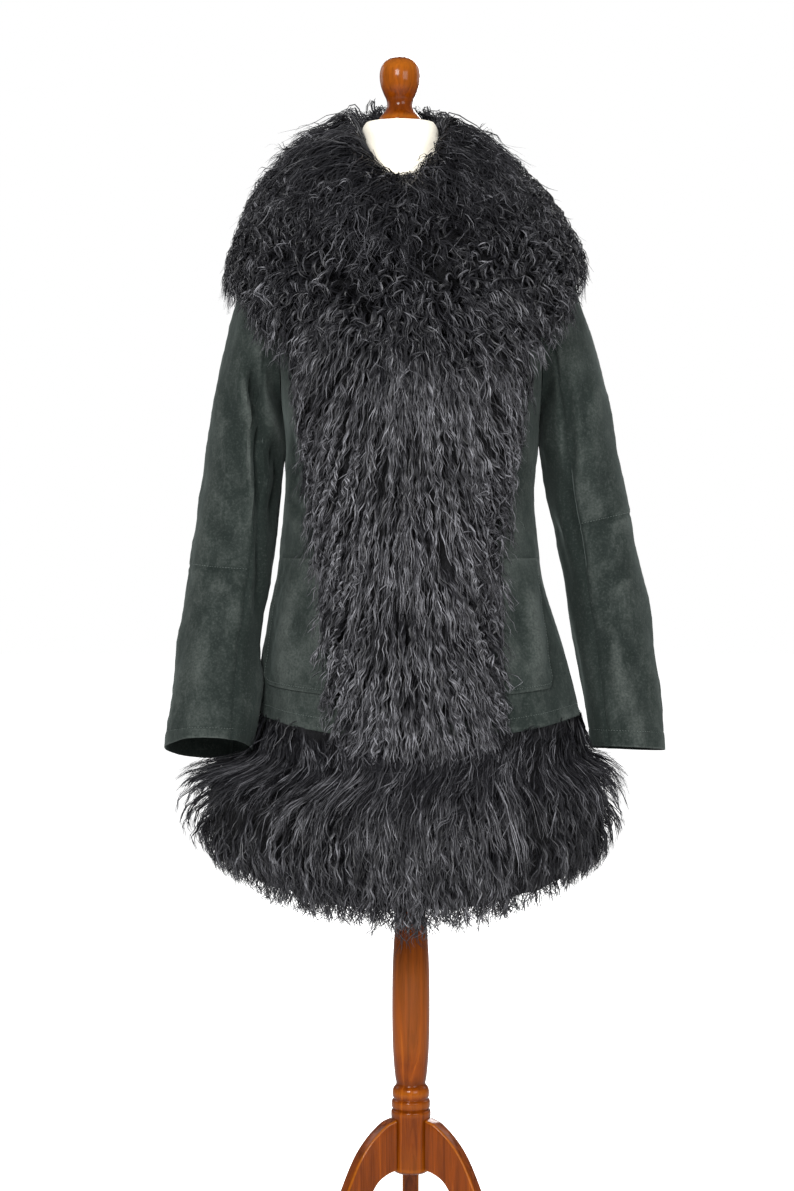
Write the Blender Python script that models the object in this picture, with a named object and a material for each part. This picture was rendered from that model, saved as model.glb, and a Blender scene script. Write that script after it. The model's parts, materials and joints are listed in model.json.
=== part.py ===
"""Suede coat with a curly lamb collar, fronts and hem, worn by a limbless dress form on a turned stand.

Metres, +Z up. The coat's front faces -Y, and its wearer's left side is at +X. Every height is above
the floor, and every x and y is measured from the axis of the stand's column.

The coat is built from rings round that axis: short tables give each ring's height at the front, side
and back, its half width and its two depths, and a smooth curve runs through each column of a table.
A piece is a patch of such a surface, given a wall and trimmed by half a seam's gap on every edge.
"""

import math
from collections import namedtuple

import bpy
import numpy as np

# ---- driving dimensions -------------------------------------------------------------------------
SUEDE = 0.0016  # wall of the suede
SEAM = 0.0004  # gap between two pieces that are sewn together
LAID = 0.0009  # gap under a piece that lies on a panel
FOOTPRINT = (-0.0062, -0.0020)  # the column's axis, seen from the middle of the whole footprint

NECK_TOP = 1.443
FORM_BASE = 0.700
COLUMN_FOOT = 0.204
LEG_THICKNESS = 0.020

ARMHOLE_MIDDLE = 1.225
ARMHOLE_HALF_HEIGHT = 0.110
ARMHOLE_FRONT = 26.0  # degrees of the body ring that the armhole takes in front of the side
ARMHOLE_BACK = 25.0  # and behind it

POCKET_TOP = 0.934
POCKET_FOOT = 0.790
POCKET_WALL = 0.0022

# A ring of the body, the collar or the hem. The three heights are at the front, side and back.
Ring = namedtuple("Ring", "front_z side_z back_z half_width front_depth back_depth squareness centre_x")

BODY = (
    Ring(0.733, 0.752, 0.745, 0.1870, 0.1500, 0.1500, 2.25, 0.0095),
    Ring(0.790, 0.800, 0.796, 0.1800, 0.1470, 0.1480, 2.25, 0.0050),
    Ring(0.860, 0.862, 0.861, 0.1680, 0.1405, 0.1410, 2.25, 0.0000),
    Ring(0.930, 0.930, 0.930, 0.1530, 0.1300, 0.1290, 2.25, -0.0010),
    Ring(0.980, 0.980, 0.980, 0.1480, 0.1250, 0.1190, 2.25, -0.0020),
    Ring(1.020, 1.020, 1.020, 0.1470, 0.1260, 0.1160, 2.25, -0.0010),
    Ring(1.060, 1.060, 1.060, 0.1485, 0.1340, 0.1180, 2.25, 0.0000),
    Ring(1.110, 1.110, 1.110, 0.1515, 0.1450, 0.1240, 2.30, 0.0000),
    Ring(1.160, 1.160, 1.160, 0.1610, 0.1440, 0.1300, 2.35, 0.0000),
    Ring(1.220, 1.220, 1.220, 0.1700, 0.1290, 0.1320, 2.35, 0.0000),
    Ring(1.275, 1.280, 1.280, 0.1750, 0.1120, 0.1240, 2.30, 0.0000),
    Ring(1.305, 1.315, 1.316, 0.1775, 0.0990, 0.1120, 2.25, 0.0000),
    Ring(1.324, 1.337, 1.340, 0.1740, 0.0880, 0.1000, 2.20, 0.0000),
    Ring(1.336, 1.352, 1.358, 0.1480, 0.0815, 0.0920, 2.15, 0.0000),
    Ring(1.346, 1.366, 1.374, 0.1150, 0.0750, 0.0830, 2.10, 0.0000),
    Ring(1.354, 1.379, 1.389, 0.0830, 0.0680, 0.0740, 2.05, 0.0000),
    Ring(1.360, 1.391, 1.404, 0.0600, 0.0600, 0.0640, 2.00, 0.0000),
)

# The collar, from the neck outwards and down: the skin that lies on the shoulders, and the fur.
COLLAR_SKIN = (
    Ring(1.3609, 1.3919, 1.4049, 0.0600, 0.0600, 0.0640, 2.00, 0.000),
    Ring(1.3560, 1.3860, 1.3970, 0.0760, 0.0710, 0.0770, 2.05, -0.003),
    Ring(1.3380, 1.3780, 1.3860, 0.1060, 0.0850, 0.0940, 2.10, -0.004),
    Ring(1.3080, 1.3660, 1.3620, 0.1400, 0.1020, 0.1100, 2.15, -0.005),
    Ring(1.2680, 1.3480, 1.3300, 0.1760, 0.1190, 0.1260, 2.20, -0.005),
    Ring(1.2150, 1.3120, 1.2900, 0.1930, 0.1350, 0.1350, 2.25, -0.004),
    Ring(1.1700, 1.2740, 1.2520, 0.2060, 0.1470, 0.1390, 2.25, -0.002),
    Ring(1.1300, 1.2420, 1.2120, 0.2090, 0.1500, 0.1380, 2.25, 0.000),
)
COLLAR_FUR = (
    Ring(1.3720, 1.4460, 1.4680, 0.0470, 0.0540, 0.0620, 2.00, -0.013),
    Ring(1.3900, 1.4620, 1.4860, 0.0580, 0.0780, 0.0880, 2.00, -0.017),
    Ring(1.3700, 1.4420, 1.4680, 0.0840, 0.1140, 0.1240, 2.05, -0.015),
    Ring(1.3320, 1.4120, 1.4300, 0.1270, 0.1440, 0.1520, 2.10, -0.017),
    Ring(1.2840, 1.3680, 1.3780, 0.1650, 0.1680, 0.1700, 2.15, -0.015),
    Ring(1.2280, 1.3200, 1.3200, 0.1940, 0.1840, 0.1780, 2.20, -0.008),
    Ring(1.1740, 1.2780, 1.2620, 0.2110, 0.1900, 0.1740, 2.25, -0.005),
    Ring(1.1280, 1.2390, 1.2060, 0.2130, 0.1820, 0.1540, 2.25, 0.000),
)

# The fur hem, from its seam with the suede down to its lower edge.
HEM_SKIN = (
    Ring(0.7325, 0.7515, 0.7445, 0.1854, 0.1484, 0.1484, 2.25, 0.0095),
    Ring(0.7120, 0.7280, 0.7210, 0.1868, 0.1500, 0.1500, 2.25, 0.0080),
    Ring(0.6880, 0.7020, 0.6940, 0.1890, 0.1530, 0.1525, 2.25, 0.0040),
    Ring(0.6550, 0.6700, 0.6610, 0.1920, 0.1570, 0.1555, 2.20, -0.0010),
    Ring(0.6180, 0.6380, 0.6270, 0.1950, 0.1600, 0.1585, 2.20, -0.0040),
    Ring(0.5820, 0.6080, 0.5920, 0.1970, 0.1630, 0.1610, 2.20, -0.0050),
    Ring(0.5530, 0.5870, 0.5650, 0.1985, 0.1660, 0.1635, 2.20, -0.0050),
    Ring(0.5340, 0.5760, 0.5480, 0.2010, 0.1700, 0.1660, 2.20, -0.0040),
)
HEM_FUR = (
    Ring(0.7320, 0.7510, 0.7440, 0.1886, 0.1516, 0.1516, 2.25, 0.0095),
    Ring(0.7150, 0.7300, 0.7230, 0.1890, 0.1640, 0.1620, 2.25, 0.0080),
    Ring(0.6900, 0.7000, 0.6960, 0.1980, 0.1870, 0.1830, 2.25, 0.0040),
    Ring(0.6560, 0.6760, 0.6640, 0.2490, 0.2090, 0.2030, 2.20, -0.0115),
    Ring(0.6120, 0.6320, 0.6210, 0.2580, 0.2190, 0.2120, 2.15, -0.0115),
    Ring(0.5700, 0.5980, 0.5800, 0.2390, 0.2150, 0.2080, 2.15, -0.0060),
    Ring(0.5390, 0.5760, 0.5510, 0.2190, 0.2020, 0.1960, 2.15, -0.0040),
    Ring(0.5270, 0.5680, 0.5410, 0.2100, 0.1860, 0.1800, 2.15, -0.0040),
)

# The dress form where it stands clear of the coat: bust, waist, hip and base.
FORM = (
    Ring(0.700, 0.700, 0.700, 0.1420, 0.1020, 0.1050, 2.2, 0.000),
    Ring(0.712, 0.712, 0.712, 0.1560, 0.1110, 0.1160, 2.2, 0.000),
    Ring(0.760, 0.760, 0.760, 0.1610, 0.1150, 0.1240, 2.2, 0.000),
    Ring(0.830, 0.830, 0.830, 0.1590, 0.1120, 0.1260, 2.2, 0.000),
    Ring(0.900, 0.900, 0.900, 0.1380, 0.1030, 0.1080, 2.2, 0.000),
    Ring(0.970, 0.970, 0.970, 0.1190, 0.0960, 0.0880, 2.2, 0.000),
    Ring(1.020, 1.020, 1.020, 0.1190, 0.0990, 0.0880, 2.2, 0.000),
    Ring(1.080, 1.080, 1.080, 0.1330, 0.1200, 0.0980, 2.2, 0.000),
    Ring(1.130, 1.130, 1.130, 0.1440, 0.1340, 0.1090, 2.2, 0.000),
    Ring(1.180, 1.180, 1.180, 0.1530, 0.1280, 0.1200, 2.2, 0.000),
)
# Its neck, above the coat's neckline.
NECK = (
    Ring(1.3585, 1.3895, 1.4025, 0.0475, 0.0475, 0.0505, 2.0, -0.003),
    Ring(1.3880, 1.4080, 1.4170, 0.0465, 0.0455, 0.0470, 2.0, -0.007),
    Ring(1.4140, 1.4240, 1.4290, 0.0445, 0.0440, 0.0445, 2.0, -0.011),
    Ring(1.4365, 1.4375, 1.4380, 0.0436, 0.0436, 0.0436, 2.0, -0.013),
    Ring(1.4430, 1.4430, 1.4430, 0.0400, 0.0400, 0.0400, 2.0, -0.013),
)
FORM_GAP = 0.0010

# Two lines up each front, in degrees from the middle: the edge of its fur, and the edge of its pocket.
Edge = namedtuple("Edge", "height fur pocket_left pocket_right")

FRONT_EDGES = (
    Edge(0.752, 27.0, 56.5, 72.0),
    Edge(0.800, 29.0, 59.5, 73.0),
    Edge(0.860, 33.0, 64.0, 74.5),
    Edge(0.934, 38.0, 69.5, 77.0),
    Edge(1.000, 43.5, 66.0, 72.0),
    Edge(1.060, 49.0, 63.5, 67.0),
    Edge(1.115, 52.5, 62.0, 63.5),
    Edge(1.165, 55.0, 61.0, 61.0),
    Edge(1.225, 56.5, 60.2, 60.2),
    Edge(1.391, 58.0, 62.0, 62.0),
)
FUR_COLUMNS, POCKET_COLUMNS, SIDE_COLUMNS = 6, 5, 3
PANEL_ROWS = (0.752, 0.790, 0.823, 0.858, 0.896, 0.934, 0.968, 1.002, 1.038, 1.076)  # below the underarm
ARMHOLE_STEP = 15.0  # degrees between the points of an armhole

# A section of a sleeve: the points on its outer and inner line, its half depth and its middle's y.
Section = namedtuple("Section", "outer_x outer_z inner_x inner_z half_depth middle_y")

LEFT_SLEEVE = (
    Section(0.1870, 1.285, 0.1550, 1.104, 0.0730, 0.004),
    Section(0.2000, 1.228, 0.1555, 1.088, 0.0690, 0.005),
    Section(0.2200, 1.168, 0.1545, 1.070, 0.0650, 0.006),
    Section(0.2360, 1.105, 0.1545, 1.050, 0.0620, 0.007),
    Section(0.2475, 1.045, 0.1600, 1.012, 0.0590, 0.007),
    Section(0.2590, 0.982, 0.1710, 0.964, 0.0560, 0.005),
    Section(0.2680, 0.934, 0.1770, 0.928, 0.0545, 0.002),
    Section(0.2790, 0.882, 0.1840, 0.880, 0.0535, -0.003),
    Section(0.2880, 0.822, 0.1925, 0.824, 0.0525, -0.010),
    Section(0.2935, 0.765, 0.2030, 0.768, 0.0510, -0.018),
    Section(0.2985, 0.709, 0.2110, 0.713, 0.0495, -0.026),
)
RIGHT_SLEEVE = (
    Section(0.1930, 1.288, 0.1550, 1.104, 0.0730, 0.003),
    Section(0.2060, 1.232, 0.1555, 1.088, 0.0690, 0.003),
    Section(0.2220, 1.168, 0.1545, 1.070, 0.0650, 0.002),
    Section(0.2350, 1.106, 0.1540, 1.050, 0.0630, 0.000),
    Section(0.2430, 1.045, 0.1530, 1.016, 0.0610, -0.002),
    Section(0.2520, 0.982, 0.1570, 0.968, 0.0590, -0.007),
    Section(0.2590, 0.930, 0.1615, 0.922, 0.0575, -0.015),
    Section(0.2665, 0.872, 0.1705, 0.868, 0.0560, -0.028),
    Section(0.2735, 0.814, 0.1785, 0.812, 0.0545, -0.045),
    Section(0.2790, 0.763, 0.1820, 0.762, 0.0530, -0.062),
    Section(0.2840, 0.716, 0.1850, 0.716, 0.0510, -0.076),
)
FRONT_SEAM = (105.0, 126.0)  # degrees round the sleeve from its outer line, at the armhole and cuff
BACK_SEAM = (105.0, 122.0)
CUFF_TILT = {"left": 0.006, "right": 0.0165}  # how much higher the cuff's front edge is than its middle
PIECING = {"left": 5.95, "right": 7.10}  # section where the top sleeve is pieced across

# A soft fold: where it lies, in degrees and metres, its half width and height, and how far it stands out.
Fold = namedtuple("Fold", "angle height half_angle half_height depth")

BODY_FOLDS = (
    Fold(76, 0.800, 13, 0.120, 0.0050),
    Fold(98, 0.780, 12, 0.110, -0.0045),
    Fold(119, 0.790, 13, 0.120, 0.0065),
    Fold(142, 0.800, 13, 0.110, -0.0045),
    Fold(164, 0.790, 13, 0.120, 0.0050),
    Fold(-174, 0.800, 13, 0.130, -0.0045),
    Fold(-78, 0.790, 12, 0.120, 0.0045),
    Fold(-98, 0.780, 12, 0.110, -0.0045),
    Fold(-120, 0.790, 13, 0.130, 0.0060),
    Fold(-142, 0.790, 13, 0.110, -0.0045),
    Fold(-160, 0.790, 12, 0.120, 0.0045),
    Fold(55, 1.010, 14, 0.045, -0.0030),
    Fold(-60, 1.010, 14, 0.045, -0.0030),
    Fold(140, 1.010, 24, 0.042, -0.0040),
    Fold(-142, 1.000, 24, 0.042, -0.0040),
    Fold(120, 1.075, 22, 0.042, 0.0030),
    Fold(-122, 1.070, 22, 0.042, 0.0030),
)
# On a sleeve, the angle runs from the outer line to the front, and the height is a section's number.
SLEEVE_FOLDS = {
    "left": (
        Fold(80, 3.6, 16, 2.2, 0.0035),
        Fold(112, 3.2, 14, 1.8, -0.0050),
        Fold(150, 3.4, 16, 1.2, 0.0030),
        Fold(170, 6.0, 26, 0.5, -0.0050),
        Fold(-95, 5.2, 26, 0.5, -0.0040),
        Fold(-70, 6.6, 26, 0.5, 0.0035),
        Fold(40, 8.2, 30, 0.6, -0.0025),
    ),
    "right": (
        Fold(98, 3.4, 12, 2.6, -0.0065),
        Fold(74, 3.8, 16, 2.4, 0.0035),
        Fold(128, 4.2, 12, 2.4, 0.0050),
        Fold(150, 5.2, 12, 1.8, -0.0055),
        Fold(-90, 5.4, 26, 0.5, -0.0045),
        Fold(-74, 6.6, 26, 0.5, 0.0035),
        Fold(36, 7.6, 30, 0.6, -0.0025),
    ),
}

# Outlines of turned wood: radius and height above the piece's foot.
Turn = namedtuple("Turn", "radius height")

KNOB = (
    Turn(0.0244, 0.0000),
    Turn(0.0250, 0.0022),
    Turn(0.0244, 0.0048),
    Turn(0.0212, 0.0092),
    Turn(0.0168, 0.0145),
    Turn(0.0150, 0.0205),
    Turn(0.0160, 0.0270),
    Turn(0.0190, 0.0335),
    Turn(0.0220, 0.0415),
    Turn(0.0236, 0.0500),
    Turn(0.0237, 0.0575),
    Turn(0.0221, 0.0645),
    Turn(0.0180, 0.0708),
    Turn(0.0112, 0.0752),
    Turn(0.0040, 0.0770),
)
COLUMN = (
    Turn(0.0190, 0.0000),
    Turn(0.0230, 0.0035),
    Turn(0.0234, 0.0080),
    Turn(0.0234, 0.0655),
    Turn(0.0236, 0.0700),
    Turn(0.0228, 0.0742),
    Turn(0.0212, 0.0752),
    Turn(0.0226, 0.0775),
    Turn(0.0229, 0.0820),
    Turn(0.0222, 0.0862),
    Turn(0.0204, 0.0876),
    Turn(0.0216, 0.0905),
    Turn(0.0220, 0.0945),
    Turn(0.0208, 0.1005),
    Turn(0.0176, 0.1050),
    Turn(0.0186, 0.1120),
    Turn(0.0208, 0.1350),
    Turn(0.0222, 0.1700),
    Turn(0.0224, 0.2050),
    Turn(0.0216, 0.2520),
    Turn(0.0194, 0.2870),
    Turn(0.0172, 0.3110),
    Turn(0.0152, 0.3500),
    Turn(0.0140, 0.4000),
    Turn(0.0140, FORM_BASE - SEAM - COLUMN_FOOT),
)

# A leg in its own upright plane: its upper and its lower edge, from the column to the floor.
LegPoint = namedtuple("LegPoint", "upper_reach upper_height lower_reach lower_height")

LEG = (
    LegPoint(0.0237, 0.2690, 0.0237, 0.2085),
    LegPoint(0.0370, 0.2636, 0.0330, 0.2058),
    LegPoint(0.0565, 0.2460, 0.0450, 0.1985),
    LegPoint(0.0730, 0.2225, 0.0540, 0.1860),
    LegPoint(0.0905, 0.1840, 0.0620, 0.1640),
    LegPoint(0.1050, 0.1460, 0.0720, 0.1280),
    LegPoint(0.1230, 0.1080, 0.0890, 0.0900),
    LegPoint(0.1470, 0.0755, 0.1150, 0.0555),
    LegPoint(0.1760, 0.0505, 0.1490, 0.0270),
    LegPoint(0.2040, 0.0345, 0.1850, 0.0000),
    LegPoint(0.2220, 0.0250, 0.2200, 0.0000),
)

MATERIALS = {
    "suede": ((0.040, 0.062, 0.054), 0.90),
    "fur": ((0.042, 0.042, 0.047), 0.65),
    "jersey": ((0.86, 0.84, 0.78), 0.85),
    "wood": ((0.36, 0.115, 0.030), 0.28),
}


# ---- curves and surfaces ------------------------------------------------------------------------
def smooth(knots, rows, at):
    """Reads the columns of rows at each value of at, on a smooth curve through the knots."""
    knots, rows, at = np.asarray(knots, float), np.asarray(rows, float), np.asarray(at, float)
    slopes = np.gradient(rows, knots, axis=0)
    k = np.clip(np.searchsorted(knots, at, side="right") - 1, 0, len(knots) - 2)
    span = knots[k + 1] - knots[k]
    t = ((at - knots[k]) / span)[..., None]
    span = span[..., None]
    return (
        rows[k] * (1 + 2 * t) * (1 - t) ** 2
        + rows[k + 1] * t * t * (3 - 2 * t)
        + slopes[k] * span * t * (1 - t) ** 2
        - slopes[k + 1] * span * t * t * (1 - t)
    )


def bump(x):
    """A soft hill: 1 at 0, and level with the ground from 1 outwards."""
    return np.where(np.abs(x) < 1, np.cos(0.5 * math.pi * np.clip(x, -1, 1)) ** 2, 0.0)


def turn_between(angle, other):
    """Degrees from one angle to another, the short way round."""
    return (angle - other + 180) % 360 - 180


def ring_surface(rings, folds=()):
    """A surface through rings. It takes degrees from the front towards +X, and a ring's side height or number."""
    rows = np.array(rings)
    levels = rows[:, 1] if rows[-1, 1] > rows[0, 1] else np.arange(len(rows), dtype=float)

    def at(angle, level):
        angle, level = np.broadcast_arrays(np.asarray(angle, float), np.asarray(level, float))
        row = np.moveaxis(smooth(levels, rows, level), -1, 0)
        front_z, side_z, back_z, half_width, front, back, squareness, centre = row
        across, along = np.sin(np.radians(angle)), np.cos(np.radians(angle))
        power = 2 / squareness
        for fold in folds:
            stands = fold.depth * bump(turn_between(angle, fold.angle) / fold.half_angle)
            stands = stands * bump((level - fold.height) / fold.half_height)
            half_width, front, back = half_width + stands, front + stands, back + stands
        x = centre + half_width * np.sign(across) * np.abs(across) ** power
        y = -np.where(along > 0, front, back) * np.sign(along) * np.abs(along) ** power
        z = side_z + (front_z - side_z) * np.maximum(along, 0) ** 2
        z = z + (back_z - side_z) * np.maximum(-along, 0) ** 2
        return np.stack([x, y, z], -1)

    return at


def outward(surface, first, second, step=(0.5, 0.001), flip=1.0):
    """Unit normals of a surface at its two coordinates."""
    across = surface(first + step[0], second) - surface(first - step[0], second)
    along = surface(first, second + step[1]) - surface(first, second - step[1])
    normal = np.cross(across, along) * flip
    return normal / np.linalg.norm(normal, axis=-1, keepdims=True)


BODY_SURFACE = ring_surface(BODY, BODY_FOLDS)
BODY_LOW, BODY_HIGH = BODY[0].side_z, BODY[-1].side_z


def body_normal(angle, level):
    """Outward normals of the coat's body."""
    inside = np.clip(level, BODY_LOW + 0.0011, BODY_HIGH - 0.0011)
    return outward(BODY_SURFACE, angle, inside)


# ---- meshes and solids --------------------------------------------------------------------------
def material_of(name):
    """The material of that name, made the first time it is asked for."""
    made = bpy.data.materials.get(name)
    if made is None:
        made = bpy.data.materials.new(name)
        made.use_nodes = True
        colour, roughness = MATERIALS[name]
        shader = made.node_tree.nodes["Principled BSDF"]
        shader.inputs["Base Color"].default_value = (*colour, 1.0)
        shader.inputs["Roughness"].default_value = roughness
        shader.inputs["Metallic"].default_value = 0.0
    return made


def add_object(name, points, faces, material):
    """One named object, shaded smooth but for its sharp edges."""
    mesh = bpy.data.meshes.new(name)
    mesh.from_pydata([tuple(map(float, p)) for p in points], [], faces)
    mesh.validate()
    mesh.shade_smooth()
    mesh.set_sharp_from_angle(angle=math.radians(40))
    mesh.materials.append(material_of(material))
    made = bpy.data.objects.new(name, mesh)
    bpy.context.scene.collection.objects.link(made)
    made.parent = ROOT
    return made


def trimmed(grid, by=SEAM / 2):
    """The grid with its four edges drawn in, so that it keeps half a seam's gap to each neighbour."""
    grid = grid.copy()
    for edge, inner in ((0, 1), (-1, -2)):
        for axis in (0, 1):
            rim, next_to = (grid[edge], grid[inner]) if axis == 0 else (grid[:, edge], grid[:, inner])
            way = next_to - rim
            rim += by * way / np.linalg.norm(way, axis=-1, keepdims=True)
    return grid


def wall(name, inner, outer, material):
    """A closed wall between two grids of points, the second one outside the first."""
    inner, outer = trimmed(inner), trimmed(outer)
    rows, columns = inner.shape[:2]
    count = rows * columns
    points = np.concatenate([inner.reshape(-1, 3), outer.reshape(-1, 3)])

    def at(row, column, layer):
        return layer * count + row * columns + column

    faces = []
    for r in range(rows - 1):
        for c in range(columns - 1):
            faces.append((at(r, c, 1), at(r, c + 1, 1), at(r + 1, c + 1, 1), at(r + 1, c, 1)))
            faces.append((at(r, c, 0), at(r + 1, c, 0), at(r + 1, c + 1, 0), at(r, c + 1, 0)))
    rim = [(0, c, 0, c + 1) for c in range(columns - 1)]
    rim += [(r, columns - 1, r + 1, columns - 1) for r in range(rows - 1)]
    around = [(rows - 1, c + 1, rows - 1, c) for c in range(columns - 1)]
    around += [(r + 1, 0, r, 0) for r in range(rows - 1)]
    for row, column, next_row, next_column in rim:
        a, b = at(row, column, 0), at(next_row, next_column, 0)
        c, d = at(next_row, next_column, 1), at(row, column, 1)
        faces += [(a, b, c), (a, c, d)]
    for row, column, next_row, next_column in around:
        a, b = at(row, column, 0), at(next_row, next_column, 0)
        c, d = at(next_row, next_column, 1), at(row, column, 1)
        faces += [(a, b, d), (b, c, d)]
    return add_object(name, points, facing_out(points, faces), material)


def facing_out(points, faces):
    """The faces of a closed mesh, all turned round if they point inwards."""
    volume = 0.0
    for face in faces:
        a = points[face[0]]
        for b, c in zip(face[1:-1], face[2:]):
            volume += np.dot(a, np.cross(points[b], points[c]))
    return faces if volume > 0 else [tuple(reversed(face)) for face in faces]


def closed_tube(name, rings, material):
    """A solid through closed rings of points, capped flat at both ends."""
    rows, columns = rings.shape[:2]
    faces = []
    for r in range(rows - 1):
        for c in range(columns):
            n = (c + 1) % columns
            faces.append((r * columns + c, r * columns + n, (r + 1) * columns + n, (r + 1) * columns + c))
    faces.append(tuple(reversed(range(columns))))
    faces.append(tuple((rows - 1) * columns + c for c in range(columns)))
    points = rings.reshape(-1, 3)
    return add_object(name, points, facing_out(points, faces), material)


# ---- the coat's body ----------------------------------------------------------------------------
def armhole_reach(level, back):
    """Degrees that the armhole takes of the body's ring, in front of or behind the side seam."""
    away = np.clip((level - ARMHOLE_MIDDLE) / ARMHOLE_HALF_HEIGHT, -1, 1)
    return (ARMHOLE_BACK if back else ARMHOLE_FRONT) * np.sqrt(1 - away**2)


def panel_levels():
    """Heights of a panel's rows: hem to underarm, up the armhole, and over the shoulder."""
    beside = np.cos(np.radians(np.arange(180, -1, -ARMHOLE_STEP)))
    above = np.linspace(ARMHOLE_MIDDLE + ARMHOLE_HALF_HEIGHT, BODY_HIGH, 6)[1:]
    return np.concatenate([PANEL_ROWS, ARMHOLE_MIDDLE + ARMHOLE_HALF_HEIGHT * beside, above])


def front_edges(side, level):
    """Degrees from the middle of the front to the fur's edge and to the pocket's, at a height."""
    rows = np.array(FRONT_EDGES)
    found = smooth(rows[:, 0], rows[:, [1, 2 if side == "left" else 3]], level)
    return found[..., 0], found[..., 1]


def front_grid(side):
    """Angles and levels of a front's points, in columns that keep to the fur's and the pocket's edges."""
    levels = panel_levels()
    fur_edge, pocket_edge = front_edges(side, levels)
    reach = 90 - armhole_reach(levels, back=False)
    lines = [fur_edge * k / FUR_COLUMNS for k in range(FUR_COLUMNS)]
    lines += [fur_edge + (pocket_edge - fur_edge) * k / POCKET_COLUMNS for k in range(POCKET_COLUMNS)]
    lines += [pocket_edge + (reach - pocket_edge) * k / SIDE_COLUMNS for k in range(SIDE_COLUMNS + 1)]
    angles = np.stack(lines, axis=1) * (1 if side == "left" else -1)
    return angles, levels[:, None] + 0 * angles


def body_wall(name, angles, levels):
    """A suede panel of the body, from its grid of angles and levels."""
    outer = BODY_SURFACE(angles, levels)
    inner = outer - SUEDE * body_normal(angles, levels)
    return wall(name, inner, outer, "suede")


def back_panel():
    """The back, whole, between the two side seams."""
    levels = panel_levels()[:, None]
    share = np.linspace(-1, 1, 21)[None, :]
    reach = 90 - armhole_reach(levels, back=True)
    body_wall("back", 180 + reach * share, levels + 0 * share)


def pocket(side):
    """A patch pocket with a round lower corner, from the fur's edge outwards, laid on its front."""
    rows, columns = np.linspace(0, 1, 8)[:, None], np.linspace(0, 1, 9)[None, :]
    corner = 1 - np.sqrt(1 - np.clip(1 - (1 - columns) / 0.16, 0, 0.94) ** 2)
    levels = POCKET_FOOT + (POCKET_TOP - POCKET_FOOT) * (rows + 0.10 * corner * (1 - rows))
    fur_edge, pocket_edge = front_edges(side, levels)
    angles = fur_edge + 0.4 + (pocket_edge - fur_edge - 0.4) * columns
    angles = angles * (1 if side == "left" else -1)
    base, normal = BODY_SURFACE(angles, levels), body_normal(angles, levels)
    wall(f"pocket_{side}", base + LAID * normal, base + (LAID + POCKET_WALL) * normal, "suede")


# ---- sleeves ------------------------------------------------------------------------------------
def sleeve_surface(side):
    """The sleeve's surface. It takes degrees from the outer line to the front, and a section's number."""
    sign = 1 if side == "left" else -1
    table = np.array(LEFT_SLEEVE if side == "left" else RIGHT_SLEEVE)
    knots = np.arange(len(table) + 1, dtype=float)

    def armhole(angle):
        turn = np.radians(angle)
        level = ARMHOLE_MIDDLE + (ARMHOLE_HALF_HEIGHT - 0.0006) * np.cos(turn)
        reach = np.where(np.sin(turn) > 0, ARMHOLE_FRONT, ARMHOLE_BACK) - 0.2
        around = sign * (90 - reach * np.sin(turn))
        return BODY_SURFACE(around, level) + 0.0006 * body_normal(around, level)

    def section(angle, row):
        turn = np.radians(angle)[..., None]
        outer = np.array([sign * row[0], row[5], row[1]])
        inner = np.array([sign * row[2], row[5], row[3]])
        depth = np.array([0.0, -row[4], 0.0])
        return (outer + inner) / 2 + np.cos(turn) * (outer - inner) / 2 + np.sin(turn) * depth

    def at(angle, number):
        angle, number = np.broadcast_arrays(np.asarray(angle, float), np.asarray(number, float))
        lines = np.stack([armhole(angle)] + [section(angle, row) for row in table])
        slopes = np.gradient(lines, axis=0)
        k = np.clip(np.floor(number).astype(int), 0, len(knots) - 2)
        t = (number - k)[..., None]
        pick = (k, *np.indices(angle.shape))
        after = (k + 1, *np.indices(angle.shape))
        point = (
            lines[pick] * (1 + 2 * t) * (1 - t) ** 2
            + lines[after] * t * t * (3 - 2 * t)
            + slopes[pick] * t * (1 - t) ** 2
            - slopes[after] * t * t * (1 - t)
        )
        middle = point.copy()
        row = smooth(knots[1:], table, np.maximum(number, 1))
        middle[..., 0] = sign * (row[..., 0] + row[..., 2]) / 2
        middle[..., 1] = row[..., 5]
        middle[..., 2] = (row[..., 1] + row[..., 3]) / 2
        way = point - middle
        way /= np.linalg.norm(way, axis=-1, keepdims=True)
        for fold in SLEEVE_FOLDS[side]:
            stands = fold.depth * bump(turn_between(angle, fold.angle) / fold.half_angle)
            stands = stands * bump((number - fold.height) / fold.half_height)
            point = point + stands[..., None] * way
        cuff = np.clip(number - (len(knots) - 2), 0, 1)
        point[..., 2] += CUFF_TILT[side] * np.sin(np.radians(angle)) * cuff
        return point

    return at


def sleeve_piece(name, side, first_seam, last_seam, numbers):
    """A piece of a sleeve between two seams, through the numbered sections, as a suede wall."""
    surface = sleeve_surface(side)
    columns = round((last_seam[0] - first_seam[0]) / ARMHOLE_STEP) + 1
    share = np.linspace(0, 1, columns)[None, :]
    numbers = np.asarray(numbers, float)[:, None]
    down = numbers / len(LEFT_SLEEVE)
    start = first_seam[0] + (first_seam[1] - first_seam[0]) * down
    end = last_seam[0] + (last_seam[1] - last_seam[0]) * down
    angles = start + (end - start) * share
    numbers = numbers + 0 * share
    outer = surface(angles, numbers)
    inside = np.clip(numbers, 0.011, len(LEFT_SLEEVE) - 0.011)
    sign = 1 if side == "left" else -1
    normal = outward(surface, angles, inside, step=(1.0, 0.01), flip=sign)
    wall(name, outer - SUEDE * normal, outer, "suede")


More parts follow.
